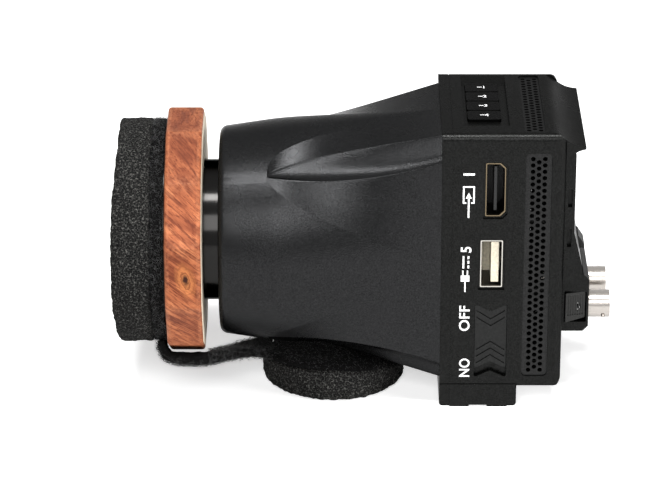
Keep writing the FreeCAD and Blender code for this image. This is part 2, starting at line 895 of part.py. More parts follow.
def usb_tongue():
    mouth = -half_w + socket_inset
    rear = prism("xz", usb_rectangle(-seat_gap), (mouth + usb_depth * usb_rear_share, mouth + usb_depth))
    bar = block(span(usb_x + usb_tongue_shift, usb_tongue_thick),
                (mouth + usb_tongue_inset, mouth + usb_depth), span(up(usb_z), usb_tongue_w))
    return join([rear, bar])


# Power switch

def switch_cap_height():
    return switch_recess_h - switch_travel - 2 * cap_gap


def switch_stem_z():
    """Height of the stem's middle, at the middle of the cap."""
    return up(switch_top_z) - cap_gap - switch_cap_height() / 2


def chevron(tip_z, rise, width):
    """A V-shaped cutter, pointing down for a positive rise."""
    half = width / 2
    side = tip_z + rise
    return prism("xz", [(switch_x - half, side, 0), (switch_x, tip_z, 0), (switch_x + half, side, 0),
                        (switch_x + half, side + chevron_thick, 0), (switch_x, tip_z + chevron_thick, 0),
                        (switch_x - half, side + chevron_thick, 0)],
                 (-half_w - 1, cap_face_y() + chevron_depth))


def cap_face_y():
    """Outer face of the switch cap, seated on the floor of its recess."""
    return -half_w + switch_recess_depth - run_gap - switch_cap_thick


def switch_cap():
    top = up(switch_top_z) - cap_gap
    corners = switch_corners(top, switch_cap_height(), switch_recess_w - 2 * cap_gap, switch_notch,
                             switch_corner_r)
    plate = prism("xz", corners, (cap_face_y(), cap_face_y() + switch_cap_thick))
    width = switch_recess_w - 2 * chevron_in
    high_tip = top - switch_notch - upper_chevron_in
    low_tip = top - switch_cap_height() + switch_notch + lower_chevron_in
    for index in range(upper_chevrons):
        plate = plate.cut(chevron(high_tip - index * chevron_pitch, chevron_rise, width))
    for index in range(lower_chevrons):
        plate = plate.cut(chevron(low_tip + index * chevron_pitch, -chevron_rise, width))
    stem_y = cap_face_y() + switch_cap_thick - stem_bite
    stem = block(span(switch_x, switch_stem_w), (stem_y, stem_y + switch_stem_len),
                 span(switch_stem_z(), switch_stem_h))
    return join([plate, stem])


def switch_body():
    middle_z = switch_stem_z() - switch_travel / 2
    near_y = -inner_y + run_gap
    body = block((board_x - switch_body_w, board_x), (near_y, near_y + switch_body_depth),
                 span(middle_z, switch_body_h))
    stem_end = cap_face_y() + switch_cap_thick - stem_bite + switch_stem_len
    slot = block(span(switch_x, switch_stem_w + 2 * cap_gap), (near_y - 1, stem_end + air_gap),
                 span(middle_z, switch_stem_h + switch_travel + 2 * cap_gap))
    return body.cut(slot)


# Function keys

def key_y(index):
    """Middle of one function key across the top face, the first one farthest."""
    return key_mid_y + ((key_count - 1) / 2 - index) * key_pitch


def function_key(index):
    floor_z = top_z - key_recess_depth
    cap = prism("xy", rectangle(span(key_x, key_len), span(key_y(index), key_wide), key_corner_r),
                (key_under_z - run_gap - key_flange_thick, floor_z + key_proud))
    flange = block(span(key_x, key_len + 2 * key_flange), span(key_y(index), key_wide - 2 * key_flange_in),
                   (key_under_z - run_gap - key_flange_thick, key_under_z - run_gap))
    stem_top = key_under_z - run_gap - key_flange_thick
    stem = rod_z(key_stem_r, (stem_top - key_stem_len, stem_top + fuse_bite / 2), key_x, key_y(index))
    return join([cap, flange, stem])


def key_switches():
    """The tact switches on the key board, one under each key."""
    switches = []
    for index in range(key_count):
        body = block(span(key_x, tact_size), span(key_y(index), tact_size),
                     (key_board_top, key_board_top + tact_h))
        plunger = rod_z(key_stem_r, (key_board_top + tact_h / 2, key_board_top + tact_h + tact_plunger_h),
                        key_x, key_y(index))
        switches.append(body.fuse(plunger))
    return Part.makeCompound(switches)


def key_board():
    reach = key_screw_reach + boss_r
    board = block(span(key_board_x, key_board_len), span(key_mid_y, 2 * reach),
                  (key_board_top - key_board_thick, key_board_top))
    for side in (-1, 1):
        board = board.cut(rod_z(screw_r + cap_gap, (key_board_top - 2, key_board_top + 1), key_board_x,
                                key_mid_y + side * key_screw_reach))
    return board


def key_board_screws():
    screws = []
    for side in (-1, 1):
        y = key_mid_y + side * key_screw_reach
        under = key_board_top - key_board_thick
        shank = rod_z(screw_r, (under, key_board_top + key_screw_len), key_board_x, y)
        head = rod_z(screw_head_r, (under - screw_head_h, under), key_board_x, y)
        screws.append(shank.fuse(head))
    return Part.makeCompound(screws)


# Battery side

def under_curve(drop, half):
    """Everything under the hollow curve of the end stop, lowered by a drop."""
    start = V(stop_curve_x, -half, top_z - drop)
    tip = V(back_x + stop_reach, -half, up(stop_tip_z) - drop)
    curve = Part.BezierCurve()
    curve.setPoles([start, start + V(stop_curve_lead, 0, 0),
                    V(back_x - 0.3, -half, up(stop_tip_z) - drop + 0.2), tip])
    floor = up(stop_low_z) - 5
    corners = [tip, V(tip.x, -half, floor), V(stop_front_x - 5, -half, floor),
               V(stop_front_x - 5, -half, start.z), start]
    edges = [curve.toShape()]
    for first, second in zip(corners, corners[1:]):
        edges.append(Part.LineSegment(first, second).toShape())
    return Part.Face(Part.Wire(edges)).extrude(V(0, 2 * half, 0))


def battery_end_stop():
    """A thin lip that carries the top face on past the back in a hollow curve."""
    tip_x = back_x + stop_reach
    tip_z = up(stop_tip_z)
    low = up(stop_low_z)
    front = stop_front_x + seat_gap
    room = prism("xz", [(front, low, 0), (back_x + stop_foot_thick, low, 0),
                        (tip_x - stop_step_len, tip_z - stop_tip_thick - 0.5, 0),
                        (tip_x, tip_z - stop_tip_thick, 0), (tip_x, top_z + 1, 0), (front, top_z + 1, 0)],
                 (-stop_half_w, stop_half_w))
    seat = under_curve(stop_depth - seat_gap, stop_half_w + 1)
    seat = seat.common(block((stop_front_x - 9, back_x + seat_gap), (-house_w, house_w), (0, top_z + 1)))
    return under_curve(0.0, stop_half_w + 1).common(room).cut(seat)


def battery_plate():
    face_x = back_x + plate_thick
    ramp_x = back_x + ramp_thick
    profile = [(back_x, up(plate_low_z), 0), (ramp_x, up(plate_low_z), 0), (ramp_x, up(ramp_low_z), 0.6),
               (face_x, up(ramp_top_z), 0.6), (face_x, up(plate_top_z), 0.4), (back_x, up(plate_top_z), 0)]
    body = prism("xz", profile, (-plate_half_w, plate_half_w))

    # Sunk field between two side rails, and hook slots in the rails
    field = (rail_w - plate_half_w, plate_half_w - rail_w)
    field_z = (up(ramp_top_z) + plate_field_in[0], up(plate_top_z) - plate_field_in[1])
    body = body.cut(block((face_x - rail_h, ramp_x + 1), field, field_z))
    for side in (-1, 1):
        for z in hook_z:
            y = sorted((side * (plate_half_w - hook_depth), side * (plate_half_w + 1)))
            body = body.cut(block((back_x + hook_slot_x[0], back_x + hook_slot_x[1]), y, span(up(z), hook_w)))
        body = body.cut(rod_x(screw_r + cap_gap, (back_x - 1, ramp_x + 1), side * plate_screw_y,
                              up(plate_screw_z)))
    body = body.cut(block((back_x - 1, ramp_x + 1), span(0, terminal_w),
                          (up(terminal_z[0]), up(terminal_z[1]))))
    body = body.cut(block((back_x - 1, ramp_x + 1), span(0, 2 * (latch_half_w + cap_gap)),
                          (up(latch_z[0]) - cap_gap, up(latch_z[1]) + cap_gap)))
    return body.removeSplitter()


def battery_terminals():
    """A plastic block with the blade slots that meet the battery."""
    face_x = back_x + plate_thick
    body = block((back_x + terminal_behind, face_x - rail_h + terminal_proud),
                 span(0, terminal_w - 2 * seat_gap),
                 (up(terminal_z[0]) + seat_gap, up(terminal_z[1]) - seat_gap))
    for index in range(blade_count):
        y = (index - (blade_count - 1) / 2) * blade_pitch
        slot_x = (face_x - rail_h + terminal_proud - blade_slot_depth, face_x + 1)
        slot_z = (up(terminal_z[0]) + blade_slot_in, up(terminal_z[1]) - blade_slot_in)
        body = body.cut(block(slot_x, span(y, blade_slot_w), slot_z))
    return body


def battery_blades():
    """Sprung contact blades, one in each slot."""
    face_x = back_x + plate_thick - rail_h + terminal_proud
    blades = []
    for index in range(blade_count):
        y = (index - (blade_count - 1) / 2) * blade_pitch
        low = up(terminal_z[0]) + blade_slot_in + blade_end_gap
        high = up(terminal_z[1]) - blade_slot_in - blade_end_gap
        floor_x = face_x - blade_slot_depth
        tip = (face_x - blade_tip_gap, (low + high) / 2, blade_end_gap)
        blades.append(prism("xz", [(floor_x, low, 0), tip, (floor_x, high, 0)], span(y, blade_thick)))
    return Part.makeCompound(blades)


def coax_block():
    end_x = back_x + coax_block_thick
    low = up(coax_block_z[0])
    high = up(coax_block_z[1])
    cut = coax_block_chamfer
    profile = [(back_x, low, 0), (end_x - cut, low, 0), (end_x, low + cut, 0), (end_x, high - cut, 0),
               (end_x - cut, high, 0), (back_x, high, 0)]
    body = prism("xz", profile, (-coax_block_half_w, coax_block_half_w))
    for side in (-1, 1):
        y = side * coax_y
        body = body.cut(rod_x(coax_r + seat_gap, (end_x - coax_seat_depth, end_x + 1), y, up(coax_z)))
        body = body.cut(rod_x(coax_neck_r + seat_gap, (back_x - 1, end_x + 1), y, up(coax_z)))
    pocket_y = -coax_block_half_w + release_depth - release_proud + release_travel + run_gap
    body = body.cut(block((release_x[0] - cap_gap, release_x[1] + cap_gap),
                          (-coax_block_half_w - 1, pocket_y),
                          (up(release_z[0]) - cap_gap, up(release_z[1]) + cap_gap)))
    return body.removeSplitter()


def release_button():
    """The battery release, its outer face sloping back and ribbed, its lower edge rising."""
    outer_y = -coax_block_half_w - release_proud
    inner = outer_y + release_depth
    near_x, far_x = release_x
    low = up(release_z[0])
    high = up(release_z[1])
    corners = [(near_x, low), (far_x, low + release_low_rise), (far_x, high), (near_x, high)]
    body = prism("xz", [(u, v, release_corner_r) for u, v in corners], (outer_y, inner))
    fall = release_face_slope * (far_x - near_x)
    body = body.common(prism("xy", [(near_x, outer_y, rib_depth), (far_x, outer_y + fall, rib_depth),
                                    (far_x, inner, 0), (near_x, inner, 0)], (low - 1, high + 1)))
    step = (far_x - near_x - 2 * rib_edge) / release_ribs
    for index in range(release_ribs):
        start = near_x + rib_edge + index * step
        face_y = outer_y + release_face_slope * (start + step / 2 - near_x)
        body = body.cut(block((start + step * rib_share[0], start + step * rib_share[1]),
                              (outer_y - 1, face_y + rib_depth),
                              (low + release_low_rise + rib_end, high - rib_end)))
    recess = rod_y(spring_r + cap_gap, (inner - spring_recess, inner + 1), (near_x + far_x) / 2,
                   (low + high) / 2)
    return body.cut(recess)


def release_spring():
    """A coil spring that pushes the release button out."""
    middle_x = (release_x[0] + release_x[1]) / 2
    middle_z = up((release_z[0] + release_z[1]) / 2)
    inner = -coax_block_half_w - release_proud + release_depth
    start = inner - spring_recess + spring_wire_r + run_gap
    length = spring_recess + release_travel + run_gap - 2 * (spring_wire_r + run_gap)
    coil_r = spring_r - spring_wire_r
    helix = Part.makeHelix(length / spring_turns, length, coil_r)
    section = Part.Wire([Part.Circle(V(coil_r, 0, 0), V(0, 1, 0), spring_wire_r).toShape()])
    coil = Part.Wire(helix).makePipeShell([section], True, True)
    coil.rotate(V(0, 0, 0), V(1, 0, 0), -90)
    coil.translate(V(middle_x, start, middle_z))
    return coil


def latch_tooth():
    """The sloped tooth that holds the battery and draws back when the button is pressed."""
    ramp_x = back_x + ramp_thick
    profile = [(latch_inner_x, up(latch_z[0]), 0), (ramp_x + latch_proud, up(latch_z[0]), 0.2),
               (ramp_x + latch_proud, up(latch_z[0]) + latch_land, 0.2), (ramp_x, up(latch_z[1]), 0),
               (latch_inner_x, up(latch_z[1]), 0)]
    return prism("xz", profile, (-latch_half_w, latch_half_w))


def coax_socket(side):
    end_x = back_x + coax_block_thick
    mouth = end_x + coax_proud
    seat = end_x - coax_seat_depth
    y = side * coax_y
    z = up(coax_z)
    body = rod_x(coax_r, (seat, mouth), y, z).fuse(
        rod_x(coax_neck_r, (wall_x - coax_nut_thick - coax_neck_past_nut, seat + fuse_bite / 2), y, z))
    body = body.cut(rod_x(coax_bore_r, (end_x + coax_floor_from_face, mouth + 1), y, z))
    groove = tube_x(coax_r + 1, coax_r - coax_groove_depth,
                    (end_x + coax_groove_x[0], end_x + coax_groove_x[1]), y, z)
    body = body.cut(groove)
    lug_x = mouth - lug_from_end
    for turn in (lug_turn_deg, lug_turn_deg + 180.0):
        angle = math.radians(turn)
        way = V(0, -math.cos(angle), -math.sin(angle))
        root = V(lug_x, y, z) + way * (coax_r - fuse_bite)
        lug = Part.makeCylinder(lug_r, lug_proud + fuse_bite, root, way)
        body = body.fuse(lug)
    return body.removeSplitter()


def coax_insulators():
    """White discs with the centre contacts, one in each coax socket."""
    end_x = back_x + coax_block_thick
    floor = end_x + coax_floor_from_face + seat_gap
    mouth = end_x + coax_proud
    cores = []
    for side in (-1, 1):
        y = side * coax_y
        disc = rod_x(coax_bore_r - seat_gap, (floor, floor + coax_disc_thick), y, up(coax_z))
        pin = tube_x(coax_pin_r, coax_pin_r / 2, (floor + coax_disc_thick / 2, mouth - coax_pin_in), y,
                     up(coax_z))
        cores.append(disc.fuse(pin))
    return Part.makeCompound(cores)


def coax_nuts():
    nuts = []
    for side in (-1, 1):
        corners = []
        for index in range(6):
            angle = math.radians(60 * index)
            reach = coax_nut_af / math.sqrt(3)
            corners.append((side * coax_y + reach * math.cos(angle), up(coax_z) + reach * math.sin(angle), 0))
        nut = prism("yz", corners, (wall_x - coax_nut_thick, wall_x))
        neck = rod_x(coax_neck_r + seat_gap, (wall_x - 5, wall_x + 1), side * coax_y, up(coax_z))
        nuts.append(nut.cut(neck))
    return Part.makeCompound(nuts)


# Loupe

def loupe_share(x):
    """How far a place lies along the flared part, from 0 at its tips to 1 at the housing."""
    tip_x = nose_x + tip_from_nose
    return (x - tip_x) / (front_x - tip_x)


def loupe_round(x, inset):
    """Half width and half height of the loupe's round part."""
    share = loupe_share(x)
    if share > 0:
        half_y = tip_r - (tip_r - loupe_end_w / 2) * share ** 1.8
        half_z = tip_r + (loupe_end_h / 2 - tip_r) * (0.85 * share + 0.15 * share ** 2)
        return half_y - inset, half_z - inset
    radius = nose_r + (tip_r - nose_r) * (x - nose_x) / tip_from_nose
    from_nose = (x - nose_x) / nose_lip
    if from_nose < 1:
        radius -= nose_lip * (1 - math.sqrt(max(0.0, 1 - (1 - from_nose) ** 2)))
    return radius - inset, radius - inset


def on_round(half, turn_deg):
    """A point of the round part at a turn from its side towards its top."""
    turn = math.radians(turn_deg)
    return (half[0] * math.cos(turn), half[1] * math.sin(turn))


def loupe_creases(x):
    """Turns where the flat facets beside the flute leave the round part, side and top."""
    share = max(0.0, loupe_share(x))
    side_turn = ridge_deg - crease_gap_deg
    top_turn = ridge_deg + crease_gap_deg
    return (side_turn - (side_turn - crease_gap_deg) * share ** 0.66,
            top_turn + (90 - crease_gap_deg - top_turn) * share ** 0.4)


def loupe_ridges(x, inset):
    """The two ridges of a corner, side and top, with the flute between them."""
    share = loupe_share(x)
    half = loupe_round(x, inset)
    side = on_round(half, ridge_deg - ridge_gap_deg)
    top = on_round(half, ridge_deg + ridge_gap_deg)
    if share <= 0:
        return side, top
    side_tip = on_round((tip_r, tip_r), ridge_deg - ridge_gap_deg)
    top_tip = on_round((tip_r, tip_r), ridge_deg + ridge_gap_deg)
    end_y = loupe_end_w / 2
    end_z = loupe_end_h / 2
    late = 1.64 * share ** 2 - 0.64 * share
    side_y = side_tip[0] + (end_y - side_tip[0]) * share ** 0.62
    side_z = side_tip[1] + (end_z - flute_top_in - side_tip[1]) * late
    top_y = top_tip[0] + (end_y - flute_side_in - top_tip[0]) * share
    top_y -= top_ridge_bow * math.sin(math.pi * share ** 0.55)
    top_z = top_tip[1] + (end_z - top_tip[1]) * share
    return (side_y - inset, side_z - inset / 2), (top_y - inset / 2, top_z - inset)


def loupe_wire(x, inset):
    """The loupe's closed section: at each corner a flute between two flat facets, and four round runs."""
    half = loupe_round(x, inset)
    side_crease, top_crease = loupe_creases(x)
    side, top = loupe_ridges(x, inset)
    sag = flute_sag * min(1.0, math.hypot(top[0] - side[0], top[1] - side[1]) / 6)
    middle = ((top[0] + side[0]) / 2, (top[1] + side[1]) / 2)
    shrink = 1 - sag / math.hypot(middle[0], middle[1])
    middle = (middle[0] * shrink, middle[1] * shrink)
    low = [on_round(half, side_crease * part / 4) for part in range(5)]
    high = [on_round(half, top_crease + (90 - top_crease) * part / 4) for part in range(5)]

    def at(point, mirror_y, mirror_z):
        return V(x, mirror_y * point[0], axis_z + mirror_z * point[1])

    def run(points):
        curve = Part.BSplineCurve()
        curve.interpolate(points)
        return curve.toShape()

    edges = []
    for y, z in [(1, 1), (-1, 1), (-1, -1), (1, -1)]:
        from_side = y * z > 0
        corner = [low[-1], side, middle, top, high[0]]
        if not from_side:
            corner.reverse()
        start, first, bend, last, end = [at(point, y, z) for point in corner]
        edges.append(Part.LineSegment(start, first).toShape())
        edges.append(Part.Arc(first, bend, last).toShape())
        edges.append(Part.LineSegment(last, end).toShape())
        if from_side:
            points = [at(p, y, z) for p in high] + [at(p, -y, z) for p in reversed(high[:-1])]
        else:
            points = [at(p, y, z) for p in reversed(low)] + [at(p, y, -z) for p in low[1:]]
        edges.append(run(points))
    return Part.Wire(edges)


def loupe_solid(stations, inset):
    return Part.makeLoft([loupe_wire(x, inset) for x in stations], True, True)


def loupe_shell():
    tip_x = nose_x + tip_from_nose
    lip = [nose_x + nose_lip * part for part in (0.0, 0.12, 0.4, 1.0)]
    grown = [tip_x + (front_x - tip_x) * (part / loupe_stations) ** 1.5 for part in range(loupe_stations + 1)]
    outer = loupe_solid(lip + grown, 0.0)
    inner_start = nose_x + nose_face
    inner = [inner_start] + [x for x in grown if x > inner_start + 1] + [front_x + 1]
    body = outer.cut(loupe_solid(inner, loupe_wall))

    # Guide for the focus sleeve, web that keeps the barrel from turning, screw bosses
    bore_r = sleeve_r + run_gap
    guide_x = (nose_x + guide_start, nose_x + sleeve_inside - guide_end_gap)
    guide = rod_x(bore_r + guide_wall, guide_x, 0, axis_z)
    web_x = nose_x + sleeve_inside + guide_web_from_sleeve
    web = rod_x(tip_r - loupe_wall / 2, (web_x, web_x + guide_web_thick), 0, axis_z)
    bosses = [rod_x(boss_r, (front_x - loupe_boss_len, front_x), y, up(z)) for y, z in loupe_screws_at]
    extra = [shape.common(outer) for shape in [guide, web] + bosses]
    body = body.multiFuse(extra)
    body = body.cut(rod_x(bore_r, (nose_x - 1, nose_x + sleeve_inside), 0, axis_z))
    body = body.cut(rod_x(barrel_r + run_gap, (web_x - 1, web_x + guide_web_thick + 1), 0, axis_z))
    lug_reach = barrel_r + key_lug_proud + cap_gap
    body = body.cut(block((web_x - 1, web_x + guide_web_thick + 1), span(0, key_lug_w + 2 * run_gap),
                          span(axis_z, 2 * lug_reach)))
    for y, z in loupe_screws_at:
        hole_x = (front_x - loupe_boss_len + loupe_screw_end, front_x + 1)
        body = body.cut(rod_x(screw_r + seat_gap, hole_x, y, up(z)))
    return body


# Eyepiece, which slides along the optical axis

def eyepiece_barrel():
    end_x = nose_x + sleeve_inside + barrel_past_sleeve
    body = rod_x(barrel_r, (hook_x, end_x), 0, axis_z)
    body = body.fuse(rod_x(barrel_flange_r, (hook_x, flange_x), 0, axis_z))
    lug = block((end_x - key_lug_len, end_x), span(0, key_lug_w),
                span(axis_z, 2 * (barrel_r + key_lug_proud)))
    body = body.fuse(lug)
    bore = barrel_r - barrel_wall
    body = body.cut(rod_x(bore, (hook_x - 1, lens_end_x()), 0, axis_z))
    body = body.cut(rod_x(bore - lens_stop, (hook_x - 1, end_x + 1), 0, axis_z))
    groove_x = clip_x()
    groove = tube_x(barrel_r + 1, barrel_r - clip_groove_depth,
                    (groove_x, groove_x + clip_thick + 2 * run_gap), 0, axis_z)
    return body.cut(groove)


def clip_x():
    """Where the clip's groove starts, just past the end of the focus sleeve."""
    return nose_x + sleeve_inside + run_gap


def lens_start_x():
    return hook_x + lens_from_face


def lens_end_x():
    """Where the lens pack ends, against the stop in the barrel."""
    return lens_start_x() + eye_lens_edge + spacer_len + field_lens_edge


def lens(x, edge, bulge):
    """A lens with both faces curved outwards inside a flat land, its rim a short cylinder."""
    rim_r = barrel_r - barrel_wall - seat_gap
    radius = rim_r - lens_land
    dome = (radius ** 2 + bulge ** 2) / (2 * bulge)
    half_turn = math.asin(radius / dome) / 2
    sag = dome * (1 - math.cos(half_turn))

    def at(along, out):
        return V(along, 0, axis_z + out)

    left = Part.Arc(at(x - bulge, 0), at(x - bulge + sag, dome * math.sin(half_turn)), at(x, radius))
    end_x = x + edge
    right = Part.Arc(at(end_x, radius), at(end_x + bulge - sag, dome * math.sin(half_turn)),
                     at(end_x + bulge, 0))
    rim = Part.makePolygon([at(x, radius), at(x, rim_r), at(end_x, rim_r), at(end_x, radius)])
    axis = Part.LineSegment(at(end_x + bulge, 0), at(x - bulge, 0))
    wire = Part.Wire([left.toShape()] + rim.Edges + [right.toShape(), axis.toShape()])
    return Part.Face(wire).revolve(at(0, 0), V(1, 0, 0), 360)


def barrel_ring(x, length, thick):
    """A ring that seats inside the barrel."""
    radius = barrel_r - barrel_wall - seat_gap
    return tube_x(radius, radius - thick, (x, x + length), 0, axis_z)


def sleeve_clip():
    """An open spring clip that keeps the focus sleeve on the barrel."""
    start = clip_x() + run_gap
    ring = tube_x(barrel_r + clip_proud, barrel_r - clip_groove_depth + run_gap, (start, start + clip_thick),
                  0, axis_z)
    return ring.cut(block((start - 1, start + clip_thick + 1), (0, barrel_r + 3), span(axis_z, clip_mouth)))


def eye_cushion():
    """A thick foam ring whose front is hollowed slightly from side to side."""
    ring = tube_x(cushion_r, cushion_hole_r, (cushion_x - cushion_thick, cushion_x), 0, axis_z)
    dish_r = (cushion_r ** 2 + cushion_hollow ** 2) / (2 * cushion_hollow)
    middle_x = cushion_x - cushion_thick + cushion_hollow - dish_r
    dish = rod_z(dish_r, (axis_z - cushion_r - 1, axis_z + cushion_r + 1), middle_x, 0)
    return ring.cut(dish)


# Focus ring, which turns about the optical axis

def focus_ring():
    corners = []
    for index in range(ring_sides):
        angle = math.radians(360.0 / ring_sides * (index + 0.5))
        corners.append((ring_corner_r * math.sin(angle), up(ring_corner_r * math.cos(angle)), ring_edge_r))
    ring = prism("yz", corners, (ring_back_x, ring_front_x))
    bevel_r = ring_corner_r + ring_edge_r
    bevel = Part.makeCone(bevel_r - ring_len, bevel_r, ring_len,
                          V(ring_back_x - ring_len + ring_edge_r, 0, axis_z), V(1, 0, 0))
    slice_x = (ring_back_x, ring_back_x + ring_edge_r)
    ring = ring.cut(tube_x(bevel_r + cut_over, cut_over, slice_x, 0, axis_z).cut(bevel))
    ring = ring.cut(rod_x(sleeve_r + seat_gap, (ring_back_x - 1, ring_front_x + 1), 0, axis_z))
    ring = ring.cut(rod_x(sleeve_flange_r + seat_gap,
                          (ring_back_x - 1, ring_back_x + sleeve_flange_thick), 0, axis_z))
    for y, z in ring_screws_at():
        ring = ring.cut(rod_x(screw_r + seat_gap, (ring_back_x, ring_back_x + ring_hole_depth), y, up(z)))
    return ring


def ring_screws_at():
    """Places of the screws that hold the sleeve's flange in the wooden ring."""
    places = []
    for index in range(ring_screw_count):
        angle = math.radians(360.0 / ring_screw_count * index)
        places.append((ring_screw_r * math.sin(angle), ring_screw_r * math.cos(angle)))
    return places


def focus_sleeve():
    body = rod_x(sleeve_r, (ring_back_x, nose_x + sleeve_inside), 0, axis_z)
    body = body.fuse(rod_x(sleeve_flange_r, (ring_back_x, ring_back_x + sleeve_flange_thick), 0, axis_z))
    body = body.cut(rod_x(sleeve_r - sleeve_wall, (ring_back_x - 1, nose_x + sleeve_inside + 1), 0, axis_z))
    for y, z in ring_screws_at():
        body = body.cut(rod_x(screw_r + cap_gap, (ring_back_x - 1, ring_back_x + 2), y, up(z)))
        body = body.cut(rod_x(screw_head_r + cap_gap, (ring_back_x - 1, ring_back_x + screw_head_h), y,
                              up(z)))
    return body


def cushion_backing():
    """The fleece ring under the cushion, with a tab that the flap's strap is sewn to."""
    ring = tube_x(backing_r, cushion_hole_r, (cushion_x, backing_x), 0, axis_z)
    hinge_r = hinge_place()[1]
    tab = block((cushion_x, backing_x), span(0, strap_tab_w),
                (up(-hinge_r) + strap_thick / 2 + air_gap, up(1 - backing_r)))
    tab.rotate(V(0, 0, axis_z), V(1, 0, 0), -flap_lean_deg)
    return join([ring, tab])


# Flap: a round foam pad on a fleece strap, which plugs the eye cushion's hole

def strap_inner_r():
    """Distance of the strap's inner face from the optical axis, clear of the turning ring."""
    return ring_corner_r + strap_ring_gap


def hinge_place():
    """The fold line of the flap: its place along X and its distance from the optical axis."""
    return ring_back_x - hinge_behind_ring, cushion_r + hinge_off_cushion + strap_thick / 2


def strap_band(x, y, z, lean_deg, thick):
    """A four-cornered section of the strap, its upper face centred on a point and leaning about X."""
    lean = math.radians(lean_deg)
    across = V(0, math.cos(lean), -math.sin(lean)) * (strap_w / 2)
    down = V(0, -math.sin(lean), -math.cos(lean)) * thick
    middle = V(x, y, up(z))
    corners = [middle - across, middle + across, middle + across + down, middle - across + down]
    return Part.makePolygon(corners + [corners[0]])


def flap_strap():
    """The strap from its fold behind the ring, under the ring and on to the pad, turning level."""
    hinge_x, hinge_r = hinge_place()
    half = strap_thick / 2
    inner = strap_inner_r()
    outer = inner + strap_thick
    level_x = ring_front_x
    hook = prism("xz", [(hinge_x - half, up(-hinge_r), 0), (hinge_x - half, up(-outer), strap_outer_bend_r),
                        (level_x, up(-outer), 0), (level_x, up(-inner), 0),
                        (hinge_x + half, up(-inner), strap_inner_bend_r), (hinge_x + half, up(-hinge_r), 0)],
                 (-strap_w / 2, strap_w / 2))
    root = rod_y(half, (-strap_w / 2, strap_w / 2), hinge_x, up(-hinge_r))
    hook = hook.fuse(root).removeSplitter()
    hook.rotate(V(0, 0, axis_z), V(1, 0, 0), -flap_lean_deg)

    lean = math.radians(flap_lean_deg)
    edge_x = pad_x - pad_r - strap_before_pad
    end_x = pad_x - pad_r + strap_onto_pad
    pad_lean_deg = math.degrees(math.atan(pad_side_slope))
    end_z = pad_mid_top_z + strap_end_thick / math.cos(math.radians(pad_lean_deg)) + seat_gap
    sections = [strap_band(level_x, -inner * math.sin(lean), -inner * math.cos(lean), flap_lean_deg,
                           strap_thick),
                strap_band((level_x + edge_x) / 2, strap_mid_y, strap_mid_z, strap_mid_lean_deg,
                           (strap_thick + strap_end_thick) / 2),
                strap_band(edge_x, pad_y, end_z, pad_lean_deg, strap_end_thick),
                strap_band(end_x, pad_y, end_z, pad_lean_deg, strap_end_thick)]
    return join([hook, Part.makeLoft(sections, True, True)])


def under_pad_top(side_lift, front_lift):
    """Everything under the pad's top, which slopes across and then falls away towards the housing."""
    reach = pad_r + 2
    low = up(pad_mid_top_z) - 20
    slope = pad_side_slope * reach
    across = prism("yz", [(pad_y - reach, low, 0), (pad_y + reach, low, 0),
                          (pad_y + reach, up(pad_mid_top_z) - slope + side_lift, 0),
                          (pad_y - reach, up(pad_mid_top_z) + slope + side_lift, 0)],
                   (pad_x - reach, pad_x + reach))
    fall = pad_front_slope * reach
    along = prism("xz", [(pad_x - reach, low, 0), (pad_x + reach, low, 0),
                         (pad_x + reach, up(pad_front_top_z) - fall + front_lift, 0),
                         (pad_x - reach, up(pad_front_top_z) + fall + front_lift, 0)],
                  (pad_y - reach, pad_y + reach))
    return across.common(along)


def flap_pad():
    disc = rod_z(pad_r, (0, axis_z), pad_x, pad_y)
    rim = [edge for edge in disc.Edges if edge.BoundBox.ZMax < 0.01]
    return disc.makeFillet(pad_rim_r, rim[:1]).common(under_pad_top(0.0, 0.0))


def flap_backing():
    """Fleece on top of the pad, from the end of the strap to short of the pad's far side."""
    disc = rod_z(pad_r - 0.1, (0, axis_z), pad_x, pad_y)
    sheet = disc.common(under_pad_top(pad_backing_thick, pad_backing_front_thick))
    sheet = sheet.cut(under_pad_top(seat_gap, seat_gap))
    start_x = pad_x - pad_r + strap_onto_pad + seat_gap
    return sheet.common(block((start_x, pad_x - pad_r + pad_backing_len), (-house_w, house_w), (0, axis_z)))


# Build every piece and write it out

